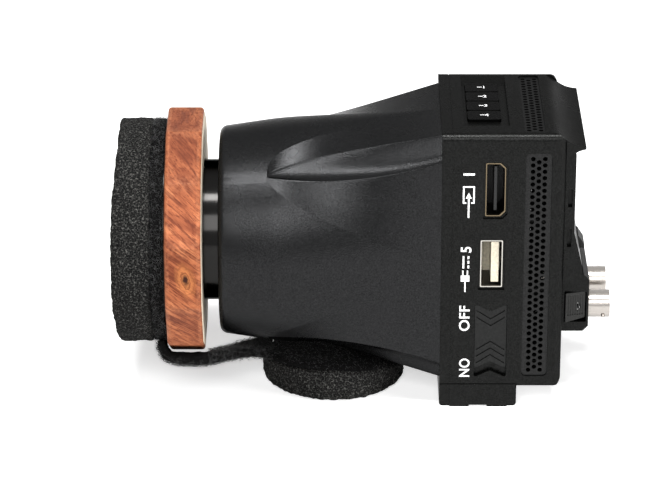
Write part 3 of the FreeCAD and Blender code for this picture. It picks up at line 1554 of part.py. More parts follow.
os.makedirs("parts", exist_ok=True)
pieces = {
    "front_bezel": front_bezel(),
    "rear_shell": rear_shell(),
    "tripod_insert": tripod_insert(),
    "housing_screws": screws_x(housing_screws_at, long_screw_r, long_head_r, long_head_h,
                               back_x - long_head_h - head_sunk,
                               back_x - long_head_h - head_sunk - seam_x - screw_end_gap, -1),
    "display_gasket": display_gasket(),
    "display_panel": display_sheet((panel_x, backlight_x), 0.0),
    "backlight_unit": display_sheet((backlight_x, tray_x), backlight_inset),
    "display_tray": display_tray(),
    "display_screws": screws_x(tray_screws_at, screw_r, screw_head_r, screw_head_h, tray_back_x,
                               tray_back_x - seam_x - screw_end_gap, -1),
    "main_board": main_board(),
    "board_screws": screws_x(board_screws_at, screw_r, screw_head_r, screw_head_h, board_x,
                             board_thick + board_screw_reach, 1),
    "processor_chip": block((board_back_x, board_back_x + chip_thick), span(chip_y, chip_size),
                            span(up(chip_z), chip_size)),
    "heat_spreader": heat_spreader(),
    "video_socket": video_socket(),
    "video_tongue": video_tongue(),
    "usb_socket": usb_socket(),
    "usb_tongue": usb_tongue(),
    "switch_body": switch_body(),
    "switch_cap": switch_cap(),
    "key_board": key_board(),
    "key_switches": key_switches(),
    "key_board_screws": key_board_screws(),
    "side_grille": grille("xz", span(side_vent_x, side_vent_w), (up(side_vent_z[0]), up(side_vent_z[1])),
                          -half_w, -1),
    "top_grille": grille("xy", span(top_vent_x, top_vent_w), top_vent_y, top_z, 1),
    "battery_end_stop": battery_end_stop(),
    "battery_plate": battery_plate(),
    "battery_plate_screws": screws_x([(-plate_screw_y, plate_screw_z), (plate_screw_y, plate_screw_z)],
                                     screw_r, screw_head_r, screw_head_h, back_x + plate_thick - rail_h,
                                     plate_thick - rail_h + house_wall, -1),
    "battery_terminals": battery_terminals(),
    "battery_blades": battery_blades(),
    "coax_block": coax_block(),
    "coax_socket_1": coax_socket(-1),
    "coax_socket_2": coax_socket(1),
    "coax_insulators": coax_insulators(),
    "coax_nuts": coax_nuts(),
    "release_button": release_button(),
    "release_spring": release_spring(),
    "latch_tooth": latch_tooth(),
    "loupe_shell": loupe_shell(),
    "loupe_screws": screws_x(loupe_screws_at, screw_r, screw_head_r, screw_head_h, seam_x - screw_head_h,
                             seam_x - screw_head_h - front_x + loupe_boss_len - loupe_screw_end
                             - screw_end_gap, -1),
    "eyepiece_barrel": eyepiece_barrel(),
    "eye_lens": lens(lens_start_x(), eye_lens_edge, eye_lens_bulge),
    "field_lens": lens(lens_end_x() - field_lens_edge, field_lens_edge, field_lens_bulge),
    "lens_spacer": barrel_ring(lens_start_x() + eye_lens_edge, spacer_len, spacer_wall),
    "lens_retainer": barrel_ring(lens_start_x() - retainer_len, retainer_len, retainer_wall),
    "sleeve_clip": sleeve_clip(),
    "hook_ring": tube_x(hook_r, cushion_hole_r, (backing_x, hook_x), 0, axis_z),
    "cushion_backing": cushion_backing(),
    "eye_cushion": eye_cushion(),
    "focus_ring": focus_ring(),
    "focus_sleeve": focus_sleeve(),
    "focus_ring_screws": screws_x(ring_screws_at(), screw_r, screw_head_r, screw_head_h,
                                  ring_back_x + screw_head_h, ring_screw_len, 1),
    "flap_strap": flap_strap(),
    "flap_backing": flap_backing(),
    "flap_pad": flap_pad(),
}
for index in range(key_count):
    pieces["function_key_" + str(index + 1)] = function_key(index)
for name, shape in pieces.items():
    save(name, shape)
    print(name, len(shape.Solids), round(shape.Volume, 1), shape.isValid())
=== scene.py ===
"""The looks of an electronic viewfinder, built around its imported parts."""

import json
import math

import bpy
import numpy as np
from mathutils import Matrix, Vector, noise


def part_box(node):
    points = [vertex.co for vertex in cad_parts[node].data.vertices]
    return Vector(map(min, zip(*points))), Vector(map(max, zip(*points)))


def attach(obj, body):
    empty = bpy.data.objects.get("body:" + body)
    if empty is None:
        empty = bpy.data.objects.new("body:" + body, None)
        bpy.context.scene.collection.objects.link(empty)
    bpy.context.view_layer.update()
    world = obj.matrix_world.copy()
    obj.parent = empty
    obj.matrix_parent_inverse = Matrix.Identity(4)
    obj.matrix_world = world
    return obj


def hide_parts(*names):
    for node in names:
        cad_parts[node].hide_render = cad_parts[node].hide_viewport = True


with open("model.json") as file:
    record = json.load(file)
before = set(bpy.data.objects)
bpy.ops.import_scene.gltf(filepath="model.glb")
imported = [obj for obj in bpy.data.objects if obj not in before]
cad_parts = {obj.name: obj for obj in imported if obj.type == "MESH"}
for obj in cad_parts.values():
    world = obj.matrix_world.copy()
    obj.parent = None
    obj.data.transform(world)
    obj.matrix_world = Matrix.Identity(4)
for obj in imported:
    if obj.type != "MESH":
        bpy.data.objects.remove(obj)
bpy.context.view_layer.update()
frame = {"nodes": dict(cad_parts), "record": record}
nodes = frame["nodes"]
slots = {part["node"]: part["material_slot"] for part in frame["record"]["subparts"]}
mm = 0.001


# Places in the part's frame, in millimetres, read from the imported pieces

def low_high(node):
    """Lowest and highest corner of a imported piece, in millimetres."""
    low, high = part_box(node)
    return np.array(low) / mm, np.array(high) / mm


loupe_low, loupe_high = low_high("loupe_shell")
ring_low, ring_high = low_high("focus_ring")
cushion_low, cushion_high = low_high("eye_cushion")
backing_low, backing_high = low_high("cushion_backing")
hook_low, hook_high = low_high("hook_ring")
pad_low, pad_high = low_high("flap_pad")
shell_low, shell_high = low_high("rear_shell")
cap_low, cap_high = low_high("switch_cap")
axis_z = (loupe_low[2] + loupe_high[2]) / 2
front_x = loupe_high[0]
nose_x = loupe_low[0]


# Camera: level with the photograph's horizon, looking down on the sockets' side

camera_elevation = math.radians(24.5)
camera_distance = 900.0
camera_lens = 187.5
camera_aim = Vector((-37.2, -2.26, 35.65))


def make_camera():
    data = bpy.data.cameras.new("camera")
    data.lens = camera_lens
    data.sensor_width = 36.0
    data.clip_start = 0.01
    data.clip_end = 20.0
    camera = bpy.data.objects.new("camera", data)
    bpy.context.scene.collection.objects.link(camera)
    back = Vector((0, -math.cos(camera_elevation), math.sin(camera_elevation)))
    camera.location = (camera_aim + back * camera_distance) * mm
    camera.rotation_mode = "QUATERNION"
    camera.rotation_quaternion = (-back).to_track_quat("-Z", "Y")
    bpy.context.scene.camera = camera


make_camera()


# Materials

class Paint:
    """A procedural material, built up from a plain surface. Lengths of its textures are in millimetres."""

    def __init__(self, name, colour, roughness, metallic=0.0, specular=0.5):
        self.material = bpy.data.materials.new(name)
        self.material.use_nodes = True
        self.tree = self.material.node_tree
        self.shader = self.tree.nodes["Principled BSDF"]
        self.set("Base Color", (*colour, 1))
        self.set("Roughness", roughness)
        self.set("Metallic", metallic)
        self.set("Specular IOR Level", specular)
        self.place = self.tree.nodes.new("ShaderNodeTexCoord").outputs["Object"]
        self.last_bump = None

    def set(self, socket, value):
        self.shader.inputs[socket].default_value = value

    def use(self, socket, output):
        self.tree.links.new(output, self.shader.inputs[socket])

    def put(self, node, socket, value):
        """Set a node's input to a number or colour, or link it to an output."""
        if hasattr(value, "links"):
            self.tree.links.new(value, node.inputs[socket])
        else:
            node.inputs[socket].default_value = value

    def maths(self, operation, first, second=0.0, third=0.0):
        node = self.tree.nodes.new("ShaderNodeMath")
        node.operation = operation
        for index, value in enumerate((first, second, third)):
            self.put(node, index, value)
        return node.outputs[0]

    def stretched(self, size, turn=(0, 0, 0), centre=(0, 0, 0)):
        """Coordinates counted in cells of the given size, after a turn about each axis in degrees."""
        shift = self.tree.nodes.new("ShaderNodeVectorMath")
        shift.operation = "SUBTRACT"
        self.put(shift, 0, self.place)
        shift.inputs[1].default_value = [value * mm for value in centre]
        turned = self.tree.nodes.new("ShaderNodeVectorRotate")
        turned.rotation_type = "EULER_XYZ"
        self.put(turned, "Vector", shift.outputs[0])
        turned.inputs["Rotation"].default_value = [math.radians(value) for value in turn]
        scaled = self.tree.nodes.new("ShaderNodeVectorMath")
        scaled.operation = "MULTIPLY"
        self.put(scaled, 0, turned.outputs[0])
        scaled.inputs[1].default_value = [1 / (value * mm) for value in size]
        return scaled.outputs[0]

    def noise(self, size, detail=2.0, rough=0.5, turn=(0, 0, 0), warp=0.0):
        """Noise with cells of the given size, one length or one for each axis."""
        node = self.tree.nodes.new("ShaderNodeTexNoise")
        cells = (size, size, size) if np.isscalar(size) else size
        self.put(node, "Vector", self.stretched(cells, turn))
        node.inputs["Scale"].default_value = 1.0
        node.inputs["Detail"].default_value = detail
        node.inputs["Roughness"].default_value = rough
        node.inputs["Distortion"].default_value = warp
        return node.outputs["Fac"]

    def ramp(self, value, stops):
        """Colours, or numbers, at places along a value."""
        node = self.tree.nodes.new("ShaderNodeValToRGB")
        self.put(node, "Fac", value)
        points = node.color_ramp.elements
        while len(points) < len(stops):
            points.new(1.0)
        for point, (position, colour) in zip(points, stops):
            point.position = position
            if np.isscalar(colour):
                colour = (colour, colour, colour)
            point.color = (*colour, 1)
        return node.outputs["Color"]

    def mix(self, share, first, second):
        node = self.tree.nodes.new("ShaderNodeMix")
        node.data_type = "RGBA"
        for socket, value in ((0, share), (6, first), (7, second)):
            if isinstance(value, tuple):
                value = (*value, 1)
            self.put(node, socket, value)
        return node.outputs[2]

    def bump(self, height, strength, depth):
        """A bump of the given depth, added to any earlier one."""
        node = self.tree.nodes.new("ShaderNodeBump")
        self.put(node, "Height", height)
        node.inputs["Strength"].default_value = strength
        node.inputs["Distance"].default_value = depth * mm
        if self.last_bump is not None:
            self.tree.links.new(self.last_bump, node.inputs["Normal"])
        self.last_bump = node.outputs[0]
        self.use("Normal", self.last_bump)

    def colour_by(self, value, stops):
        self.use("Base Color", self.ramp(value, stops))

    def roughness_by(self, value, low, high):
        self.use("Roughness", self.ramp(value, [(0.3, low), (0.7, high)]))

    def attribute(self, name):
        node = self.tree.nodes.new("ShaderNodeAttribute")
        node.attribute_name = name
        return node.outputs["Fac"]


def grained_plastic(name, dark, light, roughness, cell=0.42, depth=0.05, gloss=0.85, grazing=0.45):
    """Dark satin plastic with a fine grain: a share of gloss that stays low at a grazing view, over a matte base."""
    paint = Paint(name, dark, roughness, metallic=gloss, specular=0.1)
    paint.set("Specular Tint", (grazing, grazing, grazing, 1))
    grain = paint.noise(cell, detail=3.0, rough=0.6)
    paint.colour_by(grain, [(0.3, dark), (0.75, light)])
    paint.roughness_by(paint.noise(cell * 30, detail=3.0), roughness - 0.05, roughness + 0.05)
    paint.bump(grain, 0.5, depth)
    return paint.material


def plain_metal(name, colour, roughness, cell=0.8):
    """Plated or plain metal with faint streaks."""
    paint = Paint(name, colour, roughness, metallic=1.0)
    streaks = paint.noise((cell * 8, cell, cell), detail=4.0, rough=0.6)
    paint.roughness_by(streaks, roughness * 0.75, roughness * 1.3)
    paint.bump(streaks, 0.15, 0.02)
    return paint.material


def matte_plastic(name, colour, roughness=0.55):
    """Small inner or trim pieces with a soft mottled surface."""
    paint = Paint(name, colour, roughness, specular=0.35)
    mottle = paint.noise(0.7, detail=3.0)
    lighter = tuple(min(1.0, value * 1.35 + 0.002) for value in colour)
    paint.colour_by(mottle, [(0.3, colour), (0.75, lighter)])
    paint.bump(mottle, 0.25, 0.03)
    return paint.material


def foam_material():
    """Open-cell foam: pale walls of the cells over dark pits, the foam's own speckle with painted shade in the pits."""
    paint = Paint("foam", (0.02, 0.02, 0.02), 1.0, specular=0.05)
    cells = paint.tree.nodes.new("ShaderNodeTexVoronoi")
    cells.feature = "F1"
    paint.put(cells, "Vector", paint.stretched((0.46, 0.46, 0.46)))
    cells.inputs["Scale"].default_value = 1.0
    fine = paint.noise(0.2, detail=2.0, rough=0.7)
    pit_shade_and_speckle = paint.maths("ADD", paint.maths("MULTIPLY", cells.outputs["Distance"], 0.5), fine)
    # Partly painted shade: the pits go almost black, as shade in them would; the rest is the foam's own speckle.
    paint.colour_by(pit_shade_and_speckle, [(0.55, (0.002, 0.002, 0.002)), (0.8, (0.014, 0.014, 0.0135)),
                            (0.95, (0.05, 0.049, 0.046)), (1.0, (0.12, 0.118, 0.11))])
    paint.bump(pit_shade_and_speckle, 0.8, 0.2)
    return paint.material


def fleece_material(name, dark, light):
    """Brushed loop fabric under its fibres."""
    paint = Paint(name, dark, 1.0, specular=0.05)
    nap = paint.noise(0.55, detail=4.0, rough=0.75, warp=1.5)
    paint.colour_by(nap, [(0.4, dark), (0.6, light), (0.72, tuple(value * 3 for value in light))])
    paint.bump(nap, 1.0, 0.4)
    return paint.material


def fibre_material():
    paint = Paint("fibre", (0.05, 0.05, 0.05), 0.7, specular=0.3)
    paint.colour_by(paint.noise(1.6, detail=2.0), [(0.35, (0.012, 0.012, 0.012)), (0.7, (0.1, 0.1, 0.1))])
    return paint.material


knot_place = (-74.4, -31.0, axis_z - 0.5)
grain_turn = (0, -38, 0)


def wood_material():
    """Oiled orange-brown wood: streaks of pores, broader bands, one knot, pale worn edges and painted shade that
    darkens its top and bottom.
    """
    paint = Paint("ring_wood", (0.42, 0.15, 0.06), 0.42, specular=0.08)
    bands = paint.noise((9.0, 9.0, 1.9), detail=3.0, rough=0.6, turn=grain_turn, warp=0.6)
    colour = paint.ramp(bands, [(0.25, (0.14, 0.034, 0.016)), (0.45, (0.27, 0.078, 0.034)),
                                (0.6, (0.40, 0.128, 0.055)), (0.8, (0.56, 0.22, 0.10))])
    pores = paint.noise((2.6, 1.2, 0.28), detail=3.0, rough=0.65, turn=grain_turn)
    colour = paint.mix(paint.ramp(pores, [(0.5, 0.0), (0.62, 0.85)]), colour, (0.12, 0.03, 0.016))
    streaks = paint.noise((14.0, 9.0, 0.8), detail=2.0, rough=0.5, turn=grain_turn, warp=0.3)
    colour = paint.mix(paint.ramp(streaks, [(0.52, 0.0), (0.62, 0.75)]), colour, (0.11, 0.027, 0.014))

    def knot_reach(size):
        length = paint.tree.nodes.new("ShaderNodeVectorMath")
        length.operation = "LENGTH"
        paint.put(length, 0, paint.stretched(size, turn=(0, 14, 0), centre=knot_place))
        return length.outputs["Value"]

    wobble = paint.maths("MULTIPLY", paint.noise(1.1, detail=2.0), 0.9)
    reach = paint.maths("SUBTRACT", paint.maths("ADD", knot_reach((1.25, 8.0, 2.5)), wobble), 0.45)
    rings = paint.maths("SINE", paint.maths("MULTIPLY", reach, 9.0))
    near = paint.ramp(paint.maths("DIVIDE", reach, 3.0), [(0.25, 1.0), (0.75, 0.0)])
    glow = paint.mix(paint.maths("MULTIPLY", near, 0.55), colour, (0.72, 0.27, 0.09))
    ringed = paint.maths("MULTIPLY", near, paint.ramp(rings, [(0.35, 0.0), (0.8, 0.75)]))
    colour = paint.mix(ringed, glow, (0.14, 0.035, 0.015))
    core = paint.ramp(paint.maths("DIVIDE", reach, 3.0), [(0.1, 1.0), (0.3, 0.0)])
    colour = paint.mix(core, colour, (0.035, 0.012, 0.008))
    # Painted shade: the colour darkens towards the ring's top and bottom facets, where less light falls.
    height = paint.tree.nodes.new("ShaderNodeSeparateXYZ")
    paint.put(height, 0, paint.place)
    share = paint.maths("DIVIDE", height.outputs["Z"], 80 * mm)
    painted_height_shade = paint.ramp(share, [(0.14, 0.55), (0.28, 1.0), (0.72, 1.0), (0.86, 0.5)])
    colour = paint.mix(painted_height_shade, (0.1, 0.025, 0.011), colour)
    worn = paint.maths("MULTIPLY", paint.attribute("edge"), paint.ramp(paint.noise(0.9), [(0.35, 0.0), (0.65, 1.0)]))
    colour = paint.mix(paint.maths("MULTIPLY", worn, 0.4), colour, (0.5, 0.2, 0.1))
    paint.use("Base Color", colour)
    paint.roughness_by(pores, 0.36, 0.6)
    paint.bump(pores, 0.35, 0.05)
    return paint.material


def glare_painted_wood_material():
    """The ring's inner face, painted pale cream as a painted reflection of bright light, over a close grain."""
    # Painted reflection: this pale cream stands in for the bright glare on the inner face.
    paint = Paint("glare_painted_wood", (0.8, 0.72, 0.58), 0.6, specular=0.3)
    grain = paint.noise((1.0, 0.5, 6.0), detail=4.0, rough=0.6)
    paint.colour_by(grain, [(0.3, (0.74, 0.62, 0.46)), (0.7, (0.88, 0.80, 0.66))])
    paint.bump(grain, 0.2, 0.03)
    return paint.material


def glass_material(name, colour, roughness):
    paint = Paint(name, colour, roughness)
    paint.set("Transmission Weight", 0.85)
    paint.set("IOR", 1.5)
    paint.roughness_by(paint.noise(9.0), roughness, roughness + 0.01)
    return paint.material


def sleeve_material():
    """Black anodised metal, turned and polished."""
    paint = Paint("barrel_metal", (0.016, 0.0155, 0.015), 0.14, metallic=1.0)
    paint.set("Specular Tint", (0.3, 0.3, 0.3, 1))
    turning = paint.noise((0.25, 30.0, 30.0), detail=2.0)
    paint.roughness_by(turning, 0.1, 0.18)
    paint.bump(turning, 0.08, 0.01)
    return paint.material


def shaded_socket_material(name, colour):
    """A plated shell with painted shade: its inside darkens away from its mouth."""
    paint = Paint(name, colour, 0.32, metallic=1.0)
    depth = paint.tree.nodes.new("ShaderNodeSeparateXYZ")
    paint.put(depth, 0, paint.place)
    # Painted shade inside the socket: the colour darkens with depth from the mouth.
    inward = paint.maths("DIVIDE", paint.maths("SUBTRACT", depth.outputs["Y"], shell_low[1] * mm), 4 * mm)
    dark = tuple(value * 0.07 for value in colour)
    paint.colour_by(inward, [(0.12, colour), (0.4, dark)])
    paint.bump(paint.noise(1.2, detail=3.0), 0.1, 0.02)
    return paint.material


materials = {
    "body_plastic": grained_plastic("body_plastic", (0.006, 0.0061, 0.0059), (0.017, 0.0172, 0.0168), 0.29,
                                    cell=0.36, depth=0.09),
    "loupe_plastic": grained_plastic("loupe_plastic", (0.010, 0.0101, 0.0104), (0.027, 0.0273, 0.028), 0.26,
                                     cell=0.36, depth=0.12),
    "switch_plastic": grained_plastic("switch_plastic", (0.015, 0.0152, 0.015), (0.024, 0.0243, 0.024), 0.38),
    "key_plastic": grained_plastic("key_plastic", (0.005, 0.005, 0.005), (0.009, 0.009, 0.009), 0.3),
    "grey_plastic": grained_plastic("grey_plastic", (0.022, 0.022, 0.0215), (0.036, 0.036, 0.035), 0.35),
    "chip_plastic": matte_plastic("chip_plastic", (0.012, 0.012, 0.012)),
    "terminal_plastic": matte_plastic("terminal_plastic", (0.015, 0.015, 0.015)),
    "socket_plastic": matte_plastic("socket_plastic", (0.006, 0.006, 0.006)),
    "usb_plastic": matte_plastic("usb_plastic", (0.72, 0.66, 0.52)),
    "white_plastic": matte_plastic("white_plastic", (0.8, 0.8, 0.78), 0.35),
    "circuit_board": matte_plastic("circuit_board", (0.01, 0.06, 0.03), 0.35),
    "foam_rubber": matte_plastic("foam_rubber", (0.01, 0.01, 0.01), 0.8),
    "foam": foam_material(),
    "fleece": fleece_material("fleece", (0.002, 0.002, 0.002), (0.008, 0.008, 0.008)),
    "hook_fabric": fleece_material("hook_fabric", (0.002, 0.002, 0.002), (0.008, 0.008, 0.008)),
    "ring_wood": wood_material(),
    "panel_glass": glass_material("panel_glass", (0.02, 0.02, 0.025), 0.05),
    "lens_glass": glass_material("lens_glass", (0.9, 0.95, 0.97), 0.02),
    "steel": plain_metal("steel", (0.5, 0.5, 0.5), 0.35),
    "black_steel": plain_metal("black_steel", (0.03, 0.03, 0.03), 0.4),
    "sheet_steel": plain_metal("sheet_steel", (0.55, 0.55, 0.55), 0.4),
    "socket_metal": shaded_socket_material("socket_metal", (0.5, 0.48, 0.44)),
    "grille_metal": grained_plastic("grille_metal", (0.014, 0.014, 0.014), (0.026, 0.026, 0.026), 0.36),
    "aluminium": plain_metal("aluminium", (0.6, 0.6, 0.6), 0.35),
    "barrel_metal": sleeve_material(),
    "nickel": plain_metal("nickel", (0.36, 0.335, 0.31), 0.26),
    "gold_contact": plain_metal("gold_contact", (0.75, 0.55, 0.22), 0.3),
}
fibre_paint = fibre_material()
glare_painted_wood = glare_painted_wood_material()

# The video socket's darker brass gets the same painted shade inside.
shaded_video_brass = shaded_socket_material("shaded_video_brass", (0.16, 0.125, 0.08))
for node_name, thing in nodes.items():
    paint = shaded_video_brass if node_name == "video_socket" else materials[slots[node_name]]
    if not thing.material_slots:
        thing.data.materials.append(paint)
    for material_slot in thing.material_slots:
        material_slot.material = paint


# Mesh helpers, in millimetres

def new_piece(name, points, faces, paint, body):
    """A mesh piece that rides on a body and takes the given material."""
    mesh = bpy.data.meshes.new(name)
    mesh.from_pydata([tuple(point) for point in np.asarray(points) * mm], [], faces)
    mesh.update()
    mesh.polygons.foreach_set("use_smooth", [True] * len(mesh.polygons))
    mesh.materials.append(paint)
    thing = bpy.data.objects.new(name, mesh)
    bpy.context.scene.collection.objects.link(thing)
    if body:
        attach(thing, body)
    return thing


def grid_faces(rows, columns, wrap_rows=False, wrap_columns=True, start=0):
    """Faces between the points of a grid stored row by row."""
    faces = []
    for row in range(rows if wrap_rows else rows - 1):
        for column in range(columns if wrap_columns else columns - 1):
            next_row = (row + 1) % rows
            next_column = (column + 1) % columns
            faces.append((start + row * columns + column, start + row * columns + next_column,
                          start + next_row * columns + next_column, start + next_row * columns + column))
    return faces


def grid_normals(points, wrap_rows, wrap_columns):
    """Unit normals of a grid of points, (rows, columns, 3)."""
    def slope(axis, wrap):
        if wrap:
            return np.roll(points, -1, axis) - np.roll(points, 1, axis)
        return np.gradient(points, axis=axis)
    normal = np.cross(slope(1, wrap_columns), slope(0, wrap_rows))
    length = np.linalg.norm(normal, axis=2, keepdims=True)
    return normal / np.maximum(length, 1e-9)


def rough(point, cell, octaves=3):
    """Fractal noise at a point, about -1 to 1, with cells of a size in millimetres."""
    return noise.fractal(Vector(point) / cell, 1.0, 2.0, octaves, noise_basis="PERLIN_ORIGINAL")


def sharpen(thing, degrees):
    thing.data.set_sharp_from_angle(angle=math.radians(degrees))


def flatten_shading(thing):
    """Keep large faces flat and let narrow bevels carry the turn of the light."""
    modifier = thing.modifiers.new("normals", "WEIGHTED_NORMAL")
    modifier.keep_sharp = True


# Loupe: a round nose whose four corners open into flutes between flat facets

wall = 2.0
tip_r = 28.5
nose_r = 26.7
nose_lip = 1.6
nose_face = 3.0
tip_from_nose = 12.45
nose_bore_r = 18.25
ridge_deg = 51.85
flute_side_in = 4.2
flute_top_in = 5.8
flute_sag = 0.8
top_ridge_bow = 4.3
ridge_round = 0.22
end_half_y = 22.0
end_half_z = 33.7
tip_ease = 6.0


def on_round(half, turn_deg):
    turn = np.radians(turn_deg)
    return np.stack([half[0] * np.cos(turn), half[1] * np.sin(turn)], axis=-1)


def loupe_share(x):
    tip_x = nose_x + tip_from_nose
    return (x - tip_x) / (front_x - tip_x)


def loupe_round(x, inset):
    share = loupe_share(x)
    if share > 0:
        past = x - nose_x - tip_from_nose
        rise = (tip_r - nose_r) / tip_from_nose * past * math.exp(-past / tip_ease)
        half_y = tip_r - (tip_r - end_half_y) * share ** 1.8 + rise
        half_z = tip_r + (end_half_z - tip_r) * (0.85 * share + 0.15 * share ** 2) + rise * 0.3
        return half_y - inset, half_z - inset
    radius = nose_r + (tip_r - nose_r) * (x - nose_x) / tip_from_nose
    from_nose = (x - nose_x) / nose_lip
    if from_nose < 1:
        radius -= nose_lip * (1 - math.sqrt(max(0.0, 1 - (1 - from_nose) ** 2)))
    return radius - inset, radius - inset


def loupe_quarter(x, inset):
    """The section's corner from side to top: round part, facet, ridge, flute, ridge, facet, round part."""
    share = loupe_share(x)
    half = loupe_round(x, inset)
    if share <= 0:
        return on_round(half, np.concatenate([np.linspace(0, 48, 9), np.linspace(48.6, 51, 7), np.linspace(51.2, 52.5, 7),
                                              np.linspace(52.7, 55, 7), np.linspace(55.6, 90, 9)]))
    crease_gap = 1.2
    ridge_gap = 0.4
    side_turn = ridge_deg - crease_gap
    side_turn -= (side_turn - 0.5) * share ** 0.66
    top_turn = ridge_deg + crease_gap
    top_turn += (89.5 - top_turn) * share ** 0.4
    side_tip = on_round((tip_r, tip_r), ridge_deg - ridge_gap)
    top_tip = on_round((tip_r, tip_r), ridge_deg + ridge_gap)
    late = 1.64 * share ** 2 - 0.64 * share
    side = np.array([side_tip[0] + (end_half_y - side_tip[0]) * share ** 0.62 - inset,
                     side_tip[1] + (end_half_z - flute_top_in - side_tip[1]) * late - inset / 2])
    bow = top_ridge_bow * math.sin(math.pi * share ** 0.55)
    top = np.array([top_tip[0] + (end_half_y - flute_side_in - top_tip[0]) * share - bow - inset / 2,
                    top_tip[1] + (end_half_z - top_tip[1]) * share - inset])
    low = on_round(half, np.linspace(0, side_turn, 9))
    high = on_round(half, np.linspace(top_turn, 90, 9))
    width = np.linalg.norm(top - side)
    sag = flute_sag * min(1.0, width / 6)
    across = np.linspace(0, 1, 9)[:, None]
    middle = (top + side) / 2
    inward = -middle / np.linalg.norm(middle)
    flute = side + (top - side) * across + inward * sag * 6.75 * across * (1 - across) ** 2
    trim = min(ridge_round, width / 5)

    def rounded(corner, before, after):
        """Three points in place of a corner."""
        back = (before - corner) / max(np.linalg.norm(before - corner), 1e-9) * trim
        ahead = (after - corner) / max(np.linalg.norm(after - corner), 1e-9) * trim
        return np.array([corner + back, corner + (back + ahead) * 0.25, corner + ahead])

    side_facet = low[-1] + (side - low[-1]) * np.linspace(0, 0.94, 5)[1:, None]
    top_facet = top + (high[0] - top) * np.linspace(0.06, 1, 5)[:-1, None]
    return np.concatenate([low, side_facet, rounded(side, low[-1], flute[1]), flute[1:-1],
                           rounded(top, flute[-2], high[0]), top_facet, high])


def loupe_section(x, inset):
    """The whole closed section at one place, as points in 3-D."""
    quarter = loupe_quarter(x, inset)
    turns = [quarter[:-1], (quarter * (-1, 1))[::-1][:-1], (quarter * (-1, -1))[:-1],
             (quarter * (1, -1))[::-1][:-1]]
    flat = np.concatenate(turns)
    return np.column_stack([np.full(len(flat), x), flat[:, 0], flat[:, 1] + axis_z])


def make_loupe():
    lip = [nose_x + nose_lip * part for part in (0.0, 0.04, 0.14, 0.3, 0.55, 1.0)]
    nose = list(np.linspace(nose_x + nose_lip, nose_x + tip_from_nose, 5)[1:])
    tip_x = nose[-1]
    flare = [tip_x + (front_x - tip_x) * (part / 56) ** 1.5 for part in range(1, 57)]
    rows = [loupe_section(x, 0.0) for x in lip + nose + flare]
    inner = [x for x in reversed(nose + flare) if x > nose_x + nose_face + 0.5][::3] + [nose_x + nose_face]
    rows += [loupe_section(x, wall) for x in inner]
    turn = np.arctan2(rows[0][:, 2] - axis_z, rows[0][:, 1])
    for x in (nose_x + nose_face, nose_x):
        rows.append(np.column_stack([np.full(len(turn), x), nose_bore_r * np.cos(turn),
                                     nose_bore_r * np.sin(turn) + axis_z]))
    columns = len(turn)
    piece = new_piece("loupe_skin", np.concatenate(rows), grid_faces(len(rows), columns, wrap_rows=True),
                      materials["loupe_plastic"], "housing")
    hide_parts("loupe_shell")
    sharpen(piece, 20)
    crease = {8, columns // 4 - 8}
    marks = set()
    for quarter in range(4):
        size = columns // 4
        for place in crease:
            marks.add((quarter * size + (place if quarter % 2 == 0 else size - place)) % columns)
    first = len(lip) + len(nose)
    sharp = piece.data.attributes.get("sharp_edge") or piece.data.attributes.new("sharp_edge", "BOOLEAN", "EDGE")
    flags = np.zeros(len(piece.data.edges), dtype=bool)
    sharp.data.foreach_get("value", flags)
    ends = np.zeros(len(piece.data.edges) * 2, dtype=int)
    piece.data.edges.foreach_get("vertices", ends)
    for index, (one, other) in enumerate(ends.reshape(-1, 2)):
        same_line = one % columns == other % columns and one % columns in marks
        if same_line and first <= min(one, other) // columns and max(one, other) // columns < first + len(flare):
            flags[index] = True
    sharp.data.foreach_set("value", flags)
    flatten_shading(piece)


make_loupe()


# Focus ring: twelve worn facets, with the inner face towards the loupe painted pale as a painted reflection

ring_sides = 12
ring_corner_r = 31.8
ring_bore_r = 18.25
ring_bevel = 0.9


def ring_section(radius, edge_r):
    """The ring's outline with rounded corners, as (y, z) and a worn share for each point."""
    flat_points = 6
    corner_points = 5
    points = []
    worn = []
    half_turn = math.pi / ring_sides
    apothem = radius * math.cos(half_turn)
    half_flat = radius * math.sin(half_turn)
    reach = edge_r * math.tan(half_turn)
    for side in range(ring_sides):
        middle = 2 * half_turn * side
        out = np.array([math.sin(middle), math.cos(middle)])
        along = np.array([math.cos(middle), -math.sin(middle)])
        for share in np.linspace(-1, 1, flat_points):
            place = share * (half_flat - reach)
            points.append(out * apothem + along * place)
            worn.append(max(0.0, 1 - (half_flat - abs(place)) / 0.9))
        for part in range(1, corner_points + 1):
            turn = 2 * half_turn * part / (corner_points + 1)
            centre = out * (apothem - edge_r) + along * (half_flat - reach)
            points.append(centre + edge_r * (out * math.cos(turn) + along * math.sin(turn)))
            worn.append(1.0)
    return np.array(points), np.array(worn)


